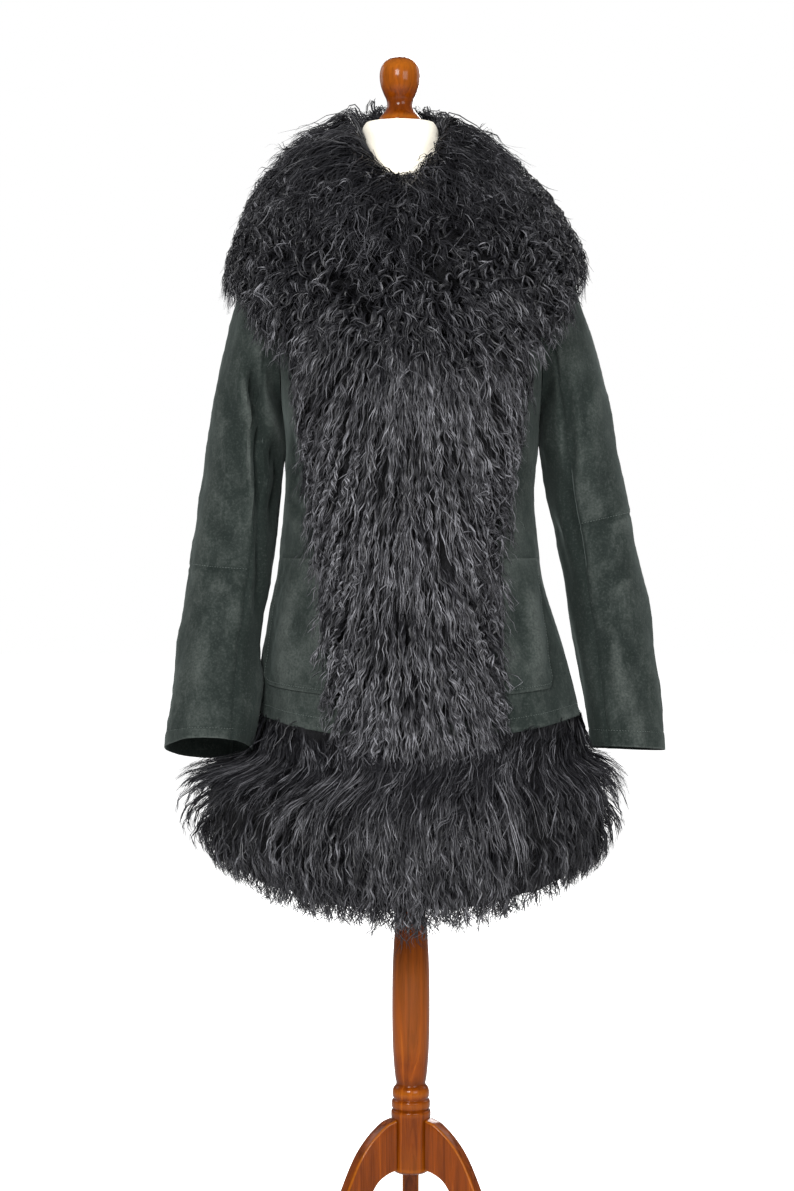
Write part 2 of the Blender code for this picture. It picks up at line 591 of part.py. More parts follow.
def sleeve(side):
    """A two-piece sleeve whose top half is pieced across below the elbow."""
    upper = np.linspace(0, PIECING[side], 10)
    lower = np.linspace(PIECING[side], len(LEFT_SLEEVE), 7)
    back, front = (-BACK_SEAM[0], -BACK_SEAM[1]), FRONT_SEAM
    round_again = (360 - BACK_SEAM[0], 360 - BACK_SEAM[1])
    sleeve_piece(f"sleeve_{side}_top_upper", side, back, front, upper)
    sleeve_piece(f"sleeve_{side}_top_lower", side, back, front, lower)
    sleeve_piece(f"sleeve_{side}_under", side, front, round_again, [*upper, *lower[1:]])


# ---- fur ----------------------------------------------------------------------------------------
def fur_piece(name, skin, fur, first_angle, last_angle, columns, rows):
    """A piece of long fur between its skin and the outside of its locks."""
    numbers = np.linspace(0, len(skin) - 1, rows)[:, None]
    angles = np.linspace(first_angle, last_angle, columns)[None, :] + 0 * numbers
    numbers = numbers + 0 * angles
    wall(name, ring_surface(skin)(angles, numbers), ring_surface(fur)(angles, numbers), "fur")


def front_band(side):
    """The fur down one front edge, from the collar to the hem, laid on the points of its front."""
    angles, levels = front_grid(side)
    rows = slice(0, len(PANEL_ROWS) + 1)
    angles, levels = angles[rows, : FUR_COLUMNS + 1], levels[rows, : FUR_COLUMNS + 1]
    across = np.linspace(0, 1, FUR_COLUMNS + 1)[None, :]
    hem_of_collar = COLLAR_FUR[-1]
    spread = np.abs(BODY_SURFACE(angles[-1:], levels[-1:])[..., 0]) / hem_of_collar.half_width
    rise = (hem_of_collar.side_z - hem_of_collar.front_z) * spread**hem_of_collar.squareness
    top = hem_of_collar.front_z + rise - 0.004
    share = np.array([[0.25], [0.6], [1.0]])
    more = levels[-1:] + (top - levels[-1:]) * share
    turned = front_edges(side, more)[0] * across * (1 if side == "left" else -1)
    angles, levels = np.concatenate([angles, turned]), np.concatenate([levels, more])
    base, normal = BODY_SURFACE(angles, levels), body_normal(angles, levels)
    pile = 0.006 + 0.034 * np.sqrt(1 - across[..., None] ** 2) * np.ones_like(base)
    pile[0] *= 0.6
    wall(f"fur_front_{side}", base + LAID * normal, base + pile * normal, "fur")


def fur():
    """The two halves of the collar and the three pieces of the hem."""
    fur_piece("fur_collar_left", COLLAR_SKIN, COLLAR_FUR, 0, 180, 17, 10)
    fur_piece("fur_collar_right", COLLAR_SKIN, COLLAR_FUR, 0, -180, 17, 10)
    fur_piece("fur_hem_front_left", HEM_SKIN, HEM_FUR, 0, 90, 10, 9)
    fur_piece("fur_hem_front_right", HEM_SKIN, HEM_FUR, 0, -90, 10, 9)
    fur_piece("fur_hem_back", HEM_SKIN, HEM_FUR, 90, 270, 17, 9)


# ---- the dress form -----------------------------------------------------------------------------
def torso():
    """The form: own sections below the bust, the coat's inside over the shoulders, and a neck."""
    count = 28
    angles = np.linspace(0, 360, count + 1)[:-1]
    own, neck = ring_surface(FORM), ring_surface(NECK)
    rings = [own(angles, level) for level in
             (0.700, 0.706, 0.722, 0.760, 0.810, 0.860, 0.905, 0.945, 0.985, 1.025, 1.065, 1.105, 1.140, 1.180)]
    for level in panel_levels()[-11:-1]:
        gap = FORM_GAP if level < 1.31 else 2 * FORM_GAP
        level = np.full(count, level)
        rings.append(BODY_SURFACE(angles, level) - (SUEDE + gap) * body_normal(angles, level))
    rings += [neck(angles, ring.side_z) for ring in NECK]
    closed_tube("torso", np.stack(rings), "jersey")


def turned(name, outline, foot, x, segments):
    """A turned piece of wood, from its outline, standing at a height on an upright axis."""
    angles = np.linspace(0, 2 * math.pi, segments + 1)[:-1]
    rings = [
        np.stack([x + r * np.cos(angles), r * np.sin(angles), np.full(segments, foot + h)], -1)
        for r, h in outline
    ]
    closed_tube(name, np.stack(rings), "wood")


def leg(name, heading):
    """A curved leg, heading outwards at that many degrees from +X, with a flat foot."""
    knots = np.arange(len(LEG), dtype=float)
    edges = smooth(knots, np.array(LEG), np.linspace(0, len(LEG) - 1, 21))
    edges[:, 3] = np.maximum(edges[:, 3], 0.0)
    out = np.array([math.cos(math.radians(heading)), math.sin(math.radians(heading))])
    aside = np.array([-out[1], out[0]])
    half, soft = LEG_THICKNESS / 2, 0.0030
    rings = []
    for upper_reach, upper_height, lower_reach, lower_height in edges:
        upper, lower = np.array([upper_reach, upper_height]), np.array([lower_reach, lower_height])
        inward = soft * (lower - upper) / np.linalg.norm(lower - upper)
        ring = []
        for spot, width in (
            (lower, soft - half), (lower - inward, -half), (upper + inward, -half), (upper, soft - half),
            (upper, half - soft), (upper + inward, half), (lower - inward, half), (lower, half - soft),
        ):
            ring.append((*(out * spot[0] + aside * width), spot[1]))
        rings.append(ring)
    closed_tube(name, np.array(rings), "wood")


def dress_form():
    """Torso, knob, column and three legs."""
    torso()
    turned("knob", KNOB, NECK_TOP + SEAM, NECK[-1].centre_x, 20)
    turned("column", COLUMN, COLUMN_FOOT, 0.0, 20)
    for name, heading in (("leg_back", 90), ("leg_left", -26), ("leg_right", 206)):
        leg(name, heading)


for old in list(bpy.data.objects):
    bpy.data.objects.remove(old)
ROOT = bpy.data.objects.new("coat_on_form", None)
bpy.context.scene.collection.objects.link(ROOT)
ROOT.location = (*FOOTPRINT, 0.0)

for coat_side in ("left", "right"):
    body_wall(f"front_{coat_side}", *front_grid(coat_side))
    pocket(coat_side)
    front_band(coat_side)
    sleeve(coat_side)
back_panel()
fur()
dress_form()
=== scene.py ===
"""Looks of a bottle-green suede coat with a curly lamb collar, on a dress form and stand.

Metres, +Z up. The coat's front faces -Y, and its wearer's left side is at +X. Tables are
measured from the axis of the stand's column, as the solids' own tables are, and FOOTPRINT moves
them into the frame.
"""

from __future__ import annotations

import json
import logging
import math
from collections.abc import Callable, Sequence
from dataclasses import dataclass, field, replace
from enum import Enum
from typing import NamedTuple

import bpy
import numpy as np
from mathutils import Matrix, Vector

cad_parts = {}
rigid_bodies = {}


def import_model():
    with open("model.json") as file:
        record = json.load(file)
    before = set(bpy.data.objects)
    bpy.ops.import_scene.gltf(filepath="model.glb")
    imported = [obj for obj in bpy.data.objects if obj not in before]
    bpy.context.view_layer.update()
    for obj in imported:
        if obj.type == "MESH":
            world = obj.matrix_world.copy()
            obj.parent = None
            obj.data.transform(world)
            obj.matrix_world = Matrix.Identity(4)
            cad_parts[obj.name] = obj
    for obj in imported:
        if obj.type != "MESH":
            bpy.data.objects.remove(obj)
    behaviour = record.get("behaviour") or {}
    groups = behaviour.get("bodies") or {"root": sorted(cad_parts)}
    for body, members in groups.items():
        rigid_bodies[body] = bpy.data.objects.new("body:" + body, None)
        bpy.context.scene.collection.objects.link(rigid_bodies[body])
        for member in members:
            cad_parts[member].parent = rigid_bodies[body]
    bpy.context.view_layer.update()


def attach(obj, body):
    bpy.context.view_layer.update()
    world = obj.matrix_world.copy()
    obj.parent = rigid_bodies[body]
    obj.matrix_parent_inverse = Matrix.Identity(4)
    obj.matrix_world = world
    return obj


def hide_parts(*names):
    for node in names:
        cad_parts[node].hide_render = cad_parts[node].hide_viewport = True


LOG = logging.getLogger("suede_coat")
Array = np.ndarray
TURN = 2 * math.pi
Colour = tuple[float, float, float]
Material = bpy.types.Material
Piece = bpy.types.Object
Socket = bpy.types.NodeSocket
Tree = bpy.types.NodeTree

FOOTPRINT = np.array([-0.0062, -0.0020, 0.0])
SUEDE_WALL = 0.0016
POCKET_WALL = 0.0022
# From a panel to what lies on it.
LAID = 0.0009
# How far a sewn edge is let out, so that it meets the next.
LAPPED = 0.00015
# The usual radii of the body and of a sleeve, which turn degrees into lengths.
BODY_RADIUS = 0.16
SLEEVE_RADIUS = 0.052
# A panel's foot, and the height that every neck edge ends at.
HEM_FOOT = 0.752
NECK_EDGE = 1.391


class Side(Enum):
    """The wearer's side, with its sign along X."""

    LEFT = 1
    RIGHT = -1

    @property
    def word(self) -> str:
        """The side's word in a piece's name."""
        return self.name.lower()


class Held(Enum):
    """How a sheet of cloth is held."""

    HUNG = "hung"
    DRAPED = "draped"
    LAID = "laid"


class Slot(Enum):
    """The record's material slots."""

    SUEDE = "suede"
    FUR = "fur"
    JERSEY = "jersey"
    WOOD = "wood"


# ---- tables, as in the solids ----
class Ring(NamedTuple):
    """A ring of the body, the collar or the hem, with its heights at the front, side and back."""

    front_z: float
    side_z: float
    back_z: float
    half_width: float
    front_depth: float
    back_depth: float
    squareness: float
    centre_x: float


class Fold(NamedTuple):
    """A soft fold of the cloth: its place, half width, half height, and how far it stands out."""

    angle: float
    height: float
    half_angle: float
    half_height: float
    depth: float

    def stands(self, angle: Array, height: Array) -> Array:
        """How far it moves the cloth at a place."""
        out = self.depth * bump(turn_between(angle, self.angle) / self.half_angle)
        return out * bump((height - self.height) / self.half_height)


class Section(NamedTuple):
    """A section of a sleeve: its outer and inner line, its half depth and the y of its middle."""

    outer_x: float
    outer_z: float
    inner_x: float
    inner_z: float
    half_depth: float
    middle_y: float


class Crease(NamedTuple):
    """A crease that sinks along a line of (x, z) points, seen from the front or from behind."""

    line: tuple[tuple[float, float], ...]
    half_width: float
    depth: float
    behind: bool = False


def table(kind: type, *rows: Sequence) -> tuple:
    """A table's rows, each of that kind."""
    return tuple(kind(*row) for row in rows)


BODY = table(
    Ring,
    (0.733, 0.752, 0.745, 0.187, 0.15, 0.15, 2.25, 0.0095),
    (0.79, 0.8, 0.796, 0.18, 0.147, 0.148, 2.25, 0.005),
    (0.86, 0.862, 0.861, 0.168, 0.1405, 0.141, 2.25, 0.0),
    (0.93, 0.93, 0.93, 0.153, 0.13, 0.129, 2.25, -0.001),
    (0.98, 0.98, 0.98, 0.148, 0.125, 0.119, 2.25, -0.002),
    (1.02, 1.02, 1.02, 0.147, 0.126, 0.116, 2.25, -0.001),
    (1.06, 1.06, 1.06, 0.1485, 0.134, 0.118, 2.25, 0.0),
    (1.11, 1.11, 1.11, 0.1515, 0.145, 0.124, 2.3, 0.0),
    (1.16, 1.16, 1.16, 0.161, 0.144, 0.13, 2.35, 0.0),
    (1.22, 1.22, 1.22, 0.17, 0.129, 0.132, 2.35, 0.0),
    (1.275, 1.28, 1.28, 0.175, 0.112, 0.124, 2.3, 0.0),
    (1.305, 1.315, 1.316, 0.1775, 0.099, 0.112, 2.25, 0.0),
    (1.324, 1.337, 1.34, 0.174, 0.088, 0.1, 2.2, 0.0),
    (1.336, 1.352, 1.358, 0.148, 0.0815, 0.092, 2.15, 0.0),
    (1.346, 1.366, 1.374, 0.115, 0.075, 0.083, 2.1, 0.0),
    (1.354, 1.379, 1.389, 0.083, 0.068, 0.074, 2.05, 0.0),
    (1.36, 1.391, 1.404, 0.06, 0.06, 0.064, 2.0, 0.0),
)
COLLAR_SKIN = table(
    Ring,
    (1.3609, 1.3919, 1.4049, 0.06, 0.06, 0.064, 2.0, 0.0),
    (1.356, 1.386, 1.397, 0.076, 0.071, 0.077, 2.05, -0.003),
    (1.338, 1.378, 1.386, 0.106, 0.085, 0.094, 2.1, -0.004),
    (1.308, 1.366, 1.362, 0.14, 0.102, 0.11, 2.15, -0.005),
    (1.268, 1.348, 1.33, 0.176, 0.119, 0.126, 2.2, -0.005),
    (1.215, 1.312, 1.29, 0.193, 0.135, 0.135, 2.25, -0.004),
    (1.17, 1.274, 1.252, 0.206, 0.147, 0.139, 2.25, -0.002),
    (1.13, 1.242, 1.212, 0.209, 0.15, 0.138, 2.25, 0.0),
)
COLLAR_FUR = table(
    Ring,
    (1.372, 1.446, 1.468, 0.047, 0.054, 0.062, 2.0, -0.013),
    (1.39, 1.462, 1.486, 0.058, 0.078, 0.088, 2.0, -0.017),
    (1.37, 1.442, 1.468, 0.084, 0.114, 0.124, 2.05, -0.015),
    (1.332, 1.412, 1.43, 0.127, 0.144, 0.152, 2.1, -0.017),
    (1.284, 1.368, 1.378, 0.165, 0.168, 0.17, 2.15, -0.015),
    (1.228, 1.32, 1.32, 0.194, 0.184, 0.178, 2.2, -0.008),
    (1.174, 1.278, 1.262, 0.211, 0.19, 0.174, 2.25, -0.005),
    (1.128, 1.239, 1.206, 0.213, 0.182, 0.154, 2.25, 0.0),
)
HEM_SKIN = table(
    Ring,
    (0.7325, 0.7515, 0.7445, 0.1854, 0.1484, 0.1484, 2.25, 0.0095),
    (0.712, 0.728, 0.721, 0.1868, 0.15, 0.15, 2.25, 0.008),
    (0.688, 0.702, 0.694, 0.189, 0.153, 0.1525, 2.25, 0.004),
    (0.655, 0.67, 0.661, 0.192, 0.157, 0.1555, 2.2, -0.001),
    (0.618, 0.638, 0.627, 0.195, 0.16, 0.1585, 2.2, -0.004),
    (0.582, 0.608, 0.592, 0.197, 0.163, 0.161, 2.2, -0.005),
    (0.553, 0.587, 0.565, 0.1985, 0.166, 0.1635, 2.2, -0.005),
    (0.534, 0.576, 0.548, 0.201, 0.17, 0.166, 2.2, -0.004),
)
HEM_FUR = table(
    Ring,
    (0.732, 0.751, 0.744, 0.1886, 0.1516, 0.1516, 2.25, 0.0095),
    (0.715, 0.73, 0.723, 0.189, 0.164, 0.162, 2.25, 0.008),
    (0.69, 0.7, 0.696, 0.198, 0.187, 0.183, 2.25, 0.004),
    (0.656, 0.676, 0.664, 0.249, 0.209, 0.203, 2.2, -0.0115),
    (0.612, 0.632, 0.621, 0.258, 0.219, 0.212, 2.15, -0.0115),
    (0.57, 0.598, 0.58, 0.239, 0.215, 0.208, 2.15, -0.006),
    (0.539, 0.576, 0.551, 0.219, 0.202, 0.196, 2.15, -0.004),
    (0.527, 0.568, 0.541, 0.21, 0.186, 0.18, 2.15, -0.004),
)
# Height, half width, front depth and back depth.
FORM_ROWS = (
    (0.7, 0.142, 0.102, 0.105), (0.712, 0.156, 0.111, 0.116),
    (0.76, 0.161, 0.115, 0.124), (0.83, 0.159, 0.112, 0.126),
    (0.9, 0.138, 0.103, 0.108), (0.97, 0.119, 0.096, 0.088),
    (1.02, 0.119, 0.099, 0.088), (1.08, 0.133, 0.12, 0.098),
    (1.13, 0.144, 0.134, 0.109), (1.18, 0.153, 0.128, 0.12),
)
FORM = table(Ring, *((z, z, z, half, *depths, 2.2, 0.0) for z, half, *depths in FORM_ROWS))
NECK = table(
    Ring,
    (1.3585, 1.3895, 1.4025, 0.0475, 0.0475, 0.0505, 2.0, -0.003),
    (1.388, 1.408, 1.417, 0.0465, 0.0455, 0.047, 2.0, -0.007),
    (1.414, 1.424, 1.429, 0.0445, 0.044, 0.0445, 2.0, -0.011),
    (1.4365, 1.4375, 1.438, 0.0436, 0.0436, 0.0436, 2.0, -0.013),
    (1.443, 1.443, 1.443, 0.04, 0.04, 0.04, 2.0, -0.013),
)
# Height, then degrees from the middle to the fur's edge and to the pocket's edge, left and right.
FRONT_EDGES = (
    (0.752, 27.0, 56.5, 72.0),
    (0.8, 29.0, 59.5, 73.0),
    (0.86, 33.0, 64.0, 74.5),
    (0.934, 38.0, 69.5, 77.0),
    (1.0, 43.5, 66.0, 72.0),
    (1.06, 49.0, 63.5, 67.0),
    (1.115, 52.5, 62.0, 63.5),
    (1.165, 55.0, 61.0, 61.0),
    (1.225, 56.5, 60.2, 60.2),
    (1.391, 58.0, 62.0, 62.0),
)
LEFT_SLEEVE = table(
    Section,
    (0.187, 1.285, 0.155, 1.104, 0.073, 0.004), (0.2, 1.228, 0.1555, 1.088, 0.069, 0.005),
    (0.22, 1.168, 0.1545, 1.07, 0.065, 0.006), (0.236, 1.105, 0.1545, 1.05, 0.062, 0.007),
    (0.2475, 1.045, 0.16, 1.012, 0.059, 0.007), (0.259, 0.982, 0.171, 0.964, 0.056, 0.005),
    (0.268, 0.934, 0.177, 0.928, 0.0545, 0.002), (0.279, 0.882, 0.184, 0.88, 0.0535, -0.003),
    (0.288, 0.822, 0.1925, 0.824, 0.0525, -0.01), (0.2935, 0.765, 0.203, 0.768, 0.051, -0.018),
    (0.2985, 0.709, 0.211, 0.713, 0.0495, -0.026),
)
RIGHT_SLEEVE = table(
    Section,
    (0.193, 1.288, 0.155, 1.104, 0.073, 0.003), (0.206, 1.232, 0.1555, 1.088, 0.069, 0.003),
    (0.222, 1.168, 0.1545, 1.07, 0.065, 0.002), (0.235, 1.106, 0.154, 1.05, 0.063, 0.0),
    (0.243, 1.045, 0.153, 1.016, 0.061, -0.002), (0.252, 0.982, 0.157, 0.968, 0.059, -0.007),
    (0.259, 0.93, 0.1615, 0.922, 0.0575, -0.015), (0.2665, 0.872, 0.1705, 0.868, 0.056, -0.028),
    (0.2735, 0.814, 0.1785, 0.812, 0.0545, -0.045), (0.279, 0.763, 0.182, 0.762, 0.053, -0.062),
    (0.284, 0.716, 0.185, 0.716, 0.051, -0.076),
)
BODY_FOLDS = table(
    Fold,
    (76, 0.8, 13, 0.12, 0.005), (98, 0.78, 12, 0.11, -0.0045),
    (119, 0.79, 13, 0.12, 0.0065), (142, 0.8, 13, 0.11, -0.0045),
    (164, 0.79, 13, 0.12, 0.005), (-174, 0.8, 13, 0.13, -0.0045),
    (-78, 0.79, 12, 0.12, 0.0045), (-98, 0.78, 12, 0.11, -0.0045),
    (-120, 0.79, 13, 0.13, 0.006), (-142, 0.79, 13, 0.11, -0.0045),
    (-160, 0.79, 12, 0.12, 0.0045), (55, 1.01, 14, 0.045, -0.003),
    (-60, 1.01, 14, 0.045, -0.003), (140, 1.01, 24, 0.042, -0.004),
    (-142, 1.0, 24, 0.042, -0.004), (120, 1.075, 22, 0.042, 0.003),
    (-122, 1.07, 22, 0.042, 0.003),
)
LEFT_SLEEVE_FOLDS = table(
    Fold,
    (80, 3.6, 16, 2.2, 0.0035), (112, 3.2, 14, 1.8, -0.005), (150, 3.4, 16, 1.2, 0.003),
    (170, 6.0, 26, 0.5, -0.005), (-95, 5.2, 26, 0.5, -0.004), (-70, 6.6, 26, 0.5, 0.0035),
    (40, 8.2, 30, 0.6, -0.0025),
)
RIGHT_SLEEVE_FOLDS = table(
    Fold,
    (98, 3.4, 12, 2.6, -0.0065), (74, 3.8, 16, 2.4, 0.0035), (128, 4.2, 12, 2.4, 0.005),
    (150, 5.2, 12, 1.8, -0.0055), (-90, 5.4, 26, 0.5, -0.0045), (-74, 6.6, 26, 0.5, 0.0035),
    (36, 7.6, 30, 0.6, -0.0025),
)
# Radius and height above the piece's foot.
KNOB = (
    (0.0244, 0.0), (0.025, 0.0022), (0.0244, 0.0048), (0.0212, 0.0092), (0.0168, 0.0145),
    (0.015, 0.0205), (0.016, 0.027), (0.019, 0.0335), (0.022, 0.0415), (0.0236, 0.05),
    (0.0237, 0.0575), (0.0221, 0.0645), (0.018, 0.0708), (0.0112, 0.0752), (0.004, 0.077),
)
COLUMN = (
    (0.019, 0.0), (0.023, 0.0035), (0.0234, 0.008), (0.0234, 0.0655), (0.0236, 0.07),
    (0.0228, 0.0742), (0.0212, 0.0752), (0.0226, 0.0775), (0.0229, 0.082), (0.0222, 0.0862),
    (0.0204, 0.0876), (0.0216, 0.0905), (0.022, 0.0945), (0.0208, 0.1005), (0.0176, 0.105),
    (0.0186, 0.112), (0.0208, 0.135), (0.0222, 0.17), (0.0224, 0.205), (0.0216, 0.252),
    (0.0194, 0.287), (0.0172, 0.311), (0.0152, 0.35), (0.014, 0.4), (0.014, 0.4956),
)
# A leg's upper edge and lower edge, each as reach and height.
LEG = (
    (0.0237, 0.269, 0.0237, 0.2085), (0.037, 0.2636, 0.033, 0.2058),
    (0.0565, 0.246, 0.045, 0.1985), (0.073, 0.2225, 0.054, 0.186),
    (0.0905, 0.184, 0.062, 0.164), (0.105, 0.146, 0.072, 0.128),
    (0.123, 0.108, 0.089, 0.09), (0.147, 0.0755, 0.115, 0.0555),
    (0.176, 0.0505, 0.149, 0.027), (0.204, 0.0345, 0.185, 0.0),
    (0.222, 0.025, 0.22, 0.0),
)


# ---- curves, surfaces and relief ----
def bridge(first: Array, last: Array, leaves: Array, arrives: Array, t: Array) -> Array:
    """A smooth way between two values with the slopes it leaves and arrives with, at share t."""
    ends = first * (1 + 2 * t) * (1 - t) ** 2 + last * t * t * (3 - 2 * t)
    return ends + leaves * t * (1 - t) ** 2 - arrives * t * t * (1 - t)


def smooth(knots: Sequence[float] | Array, rows: Sequence | Array, at: float | Array) -> Array:
    """Reads a table on a smooth curve through its rows.

    Args:
        knots: where each row stands.
        rows: the table, one row for each knot.
        at: where to read it.

    Returns:
        One row for each value of at.
    """
    knots, rows, at = (np.asarray(values, float) for values in (knots, rows, at))
    slopes = np.gradient(rows, knots, axis=0)
    k = np.clip(np.searchsorted(knots, at, side="right") - 1, 0, len(knots) - 2)
    span = knots[k + 1] - knots[k]
    t = ((at - knots[k]) / span)[..., None]
    span = span[..., None]
    return bridge(rows[k], rows[k + 1], slopes[k] * span, slopes[k + 1] * span, t)


def bump(x: Array) -> Array:
    """A soft hill: 1 at 0, and level with the ground from 1 outwards."""
    return np.where(np.abs(x) < 1, np.cos(0.5 * math.pi * np.clip(x, -1, 1)) ** 2, 0.0)


def ease(low: float, high: float, x: Array) -> Array:
    """Goes smoothly from 0 at low to 1 at high, which may be the smaller."""
    t = np.clip((x - low) / (high - low), 0, 1)
    return t * t * (3 - 2 * t)


def bell(x: Array, width: float) -> Array:
    """A narrow bell: 1 at 0, and all but gone at twice its width."""
    return np.exp(-((x / width) ** 2))


def turn_between(angle: Array, other: float) -> Array:
    """Degrees from one angle to another, the short way round."""
    return (angle - other + 180) % 360 - 180


def run_along(line: Array) -> Array:
    """How far along a line of points each of them is."""
    return np.concatenate([[0.0], np.cumsum(np.linalg.norm(np.diff(line, axis=0), axis=1))])


def off(base: Array, normal: Array, by: Array) -> Array:
    """Points moved out along their normals."""
    return base + by[..., None] * normal


def unit(vectors: Array) -> Array:
    """The vectors at length 1."""
    return vectors / np.maximum(np.linalg.norm(vectors, axis=-1, keepdims=True), 1e-12)


def dot(first: Array, second: Array) -> Array:
    """The products of vectors with vectors."""
    return np.einsum("...k,...k->...", first, second)


def ripple(points: Array, length: float, seed: int, count: int = 12) -> Array:
    """A smooth unevenness of about unit size, from waves that run in all directions.

    Args:
        points: where to read it.
        length: the waves' usual length in metres.
        seed: picks one unevenness.
        count: how many waves.

    Returns:
        Its height at each point.
    """
    rng = np.random.default_rng(seed)
    ways = unit(rng.normal(size=(count, 3))) * (TURN / length) * rng.uniform(0.6, 1.5, (count, 1))
    waves = np.sin(points @ ways.T + rng.uniform(0, TURN, count))
    return waves.sum(-1) / math.sqrt(count / 2)


def creased(points: Array, normals: Array, creases: Sequence[Crease]) -> Array:
    """How far the creases move a surface out along its normals.

    Args:
        points: the surface's points.
        normals: its outward normals.
        creases: the creases.

    Returns:
        The move at each point, in metres.
    """
    moved = np.zeros(points.shape[:-1])
    flat = points[..., [0, 2]]
    for crease in creases:
        line = np.array(crease.line)
        before = run_along(line)
        nearest, run = np.full(flat.shape[:-1], np.inf), np.zeros(flat.shape[:-1])
        ways = np.diff(line, axis=0)
        for start, way, length, gone in zip(line, ways, np.linalg.norm(ways, axis=1), before):
            t = np.clip(((flat - start) @ way) / length**2, 0, 1)
            away = np.linalg.norm(flat - start - t[..., None] * way, axis=-1)
            run = np.where(away < nearest, (gone + t * length) / before[-1], run)
            nearest = np.minimum(nearest, away)
        q = nearest / crease.half_width
        shape = 0.42 * np.exp(-1.4 * (q - 1.8) ** 2) - np.exp(-(q**2))
        facing = np.clip(normals[..., 1] * (2.6 if crease.behind else -2.6), 0, 1)
        moved += 1.7 * crease.depth * shape * facing * np.clip(np.minimum(run, 1 - run) / 0.3, 0, 1)
    return moved


@dataclass(frozen=True)
class RingedSurface:
    """A smooth surface through rings, with folds, read at degrees from the front and a level."""

    rings: Sequence[Ring]
    folds: Sequence[Fold] = ()

    @property
    def levels(self) -> Array:
        """The rings' side heights where they rise, or else their numbers."""
        rows = np.array(self.rings)
        return rows[:, 1] if rows[-1, 1] > rows[0, 1] else np.arange(len(rows), dtype=float)

    def at(self, angle: float | Array, level: float | Array) -> Array:
        """Points of the surface."""
        angle, level = np.broadcast_arrays(np.asarray(angle, float), np.asarray(level, float))
        row = np.moveaxis(smooth(self.levels, np.array(self.rings), level), -1, 0)
        front_z, side_z, back_z, half_width, front, back, squareness, centre = row
        across, along = np.sin(np.radians(angle)), np.cos(np.radians(angle))
        power = 2 / squareness
        for fold in self.folds:
            stands = fold.stands(angle, level)
            half_width, front, back = half_width + stands, front + stands, back + stands
        x = centre + half_width * np.sign(across) * np.abs(across) ** power
        y = -np.where(along > 0, front, back) * np.sign(along) * np.abs(along) ** power
        z = side_z + (front_z - side_z) * np.maximum(along, 0) ** 2
        z = z + (back_z - side_z) * np.maximum(-along, 0) ** 2
        return np.stack([x, y, z], -1)

    def normal(self, angle: Array, level: Array) -> Array:
        """Outward normals of a surface whose levels rise."""
        low, high = self.levels[0] + 0.0011, self.levels[-1] - 0.0011
        level = np.clip(level, low, high)
        across = self.at(angle + 0.5, level) - self.at(angle - 0.5, level)
        along = self.at(angle, level + 0.001) - self.at(angle, level - 0.001)
        return unit(np.cross(across, along))


BODY_SURFACE = RingedSurface(BODY, BODY_FOLDS)
ARMHOLE_MIDDLE, ARMHOLE_HALF_HEIGHT = 1.225, 0.110
ARMHOLE_FRONT, ARMHOLE_BACK = 26.0, 25.0


def front_edges(side: Side, level: float | Array) -> tuple[Array, Array]:
    """Degrees from the middle of the front to the fur's edge and to the pocket's, at a height."""
    rows = np.array(FRONT_EDGES)
    found = smooth(rows[:, 0], rows[:, [1, 2 if side is Side.LEFT else 3]], level)
    return found[..., 0], found[..., 1]


def armhole_reach(level: Array, back: bool) -> Array:
    """Degrees that the armhole takes of the body's ring, in front of or behind the side seam."""
    away = np.clip((level - ARMHOLE_MIDDLE) / ARMHOLE_HALF_HEIGHT, -1, 1)
    return (ARMHOLE_BACK if back else ARMHOLE_FRONT) * np.sqrt(1 - away**2)


# ---- meshes ----
class Patch(NamedTuple):
    """Points and four-sided faces of a mesh."""

    points: Array
    faces: Array


def lattice(rows: int, columns: int, closed: bool = False) -> Array:
    """Four-sided faces of a grid of points, which may close on itself across its columns."""
    across = np.arange(columns if closed else columns - 1)
    r, c = np.meshgrid(np.arange(rows - 1) * columns, across, indexing="ij")
    n = (c + 1) % columns
    return np.stack([r + c, r + n, r + columns + n, r + columns + c], -1).reshape(-1, 4)


def closed_wall(inner: Array, outer: Array) -> Patch:
    """A closed wall between two grids of points, let out at its edges so that sewn pieces meet.

    Args:
        inner: the inner grid.
        outer: the outer grid.

    Returns:
        The wall, with the outer grid's points last.
    """
    grids = []
    for grid in (inner, outer):
        grid = grid.copy()
        for edge, next_to in ((0, 1), (-1, -2)):
            grid[edge] -= LAPPED * unit(grid[next_to] - grid[edge])
            grid[:, edge] -= LAPPED * unit(grid[:, next_to] - grid[:, edge])
        grids.append(grid.reshape(-1, 3))
    rows, columns = inner.shape[:2]
    count = rows * columns
    face = lattice(rows, columns)
    ring = np.concatenate([
        np.arange(columns),
        np.arange(1, rows) * columns + columns - 1,
        (rows - 1) * columns + np.arange(columns - 2, -1, -1),
        np.arange(rows - 2, 0, -1) * columns,
    ])
    after = np.roll(ring, -1)
    rim = np.stack([ring, after, after + count, ring + count], -1)
    return Patch(np.concatenate(grids), np.concatenate([face[:, ::-1], face + count, rim]))


def tube(rings: Array) -> Patch:
    """A solid through closed rings of points, its ends closed by fans of narrow faces."""
    rows, columns = rings.shape[:2]
    ends = [rings[0].mean(0), rings[-1].mean(0)]
    points = np.concatenate([rings.reshape(-1, 3), ends])
    c = np.arange(columns)
    n = (c + 1) % columns
    foot, top = np.full(columns, rows * columns), np.full(columns, rows * columns + 1)
    last = (rows - 1) * columns
    caps = [np.stack([n, c, foot, foot], -1), np.stack([last + c, last + n, top, top], -1)]
    return Patch(points, np.concatenate([lattice(rows, columns, closed=True), *caps]))


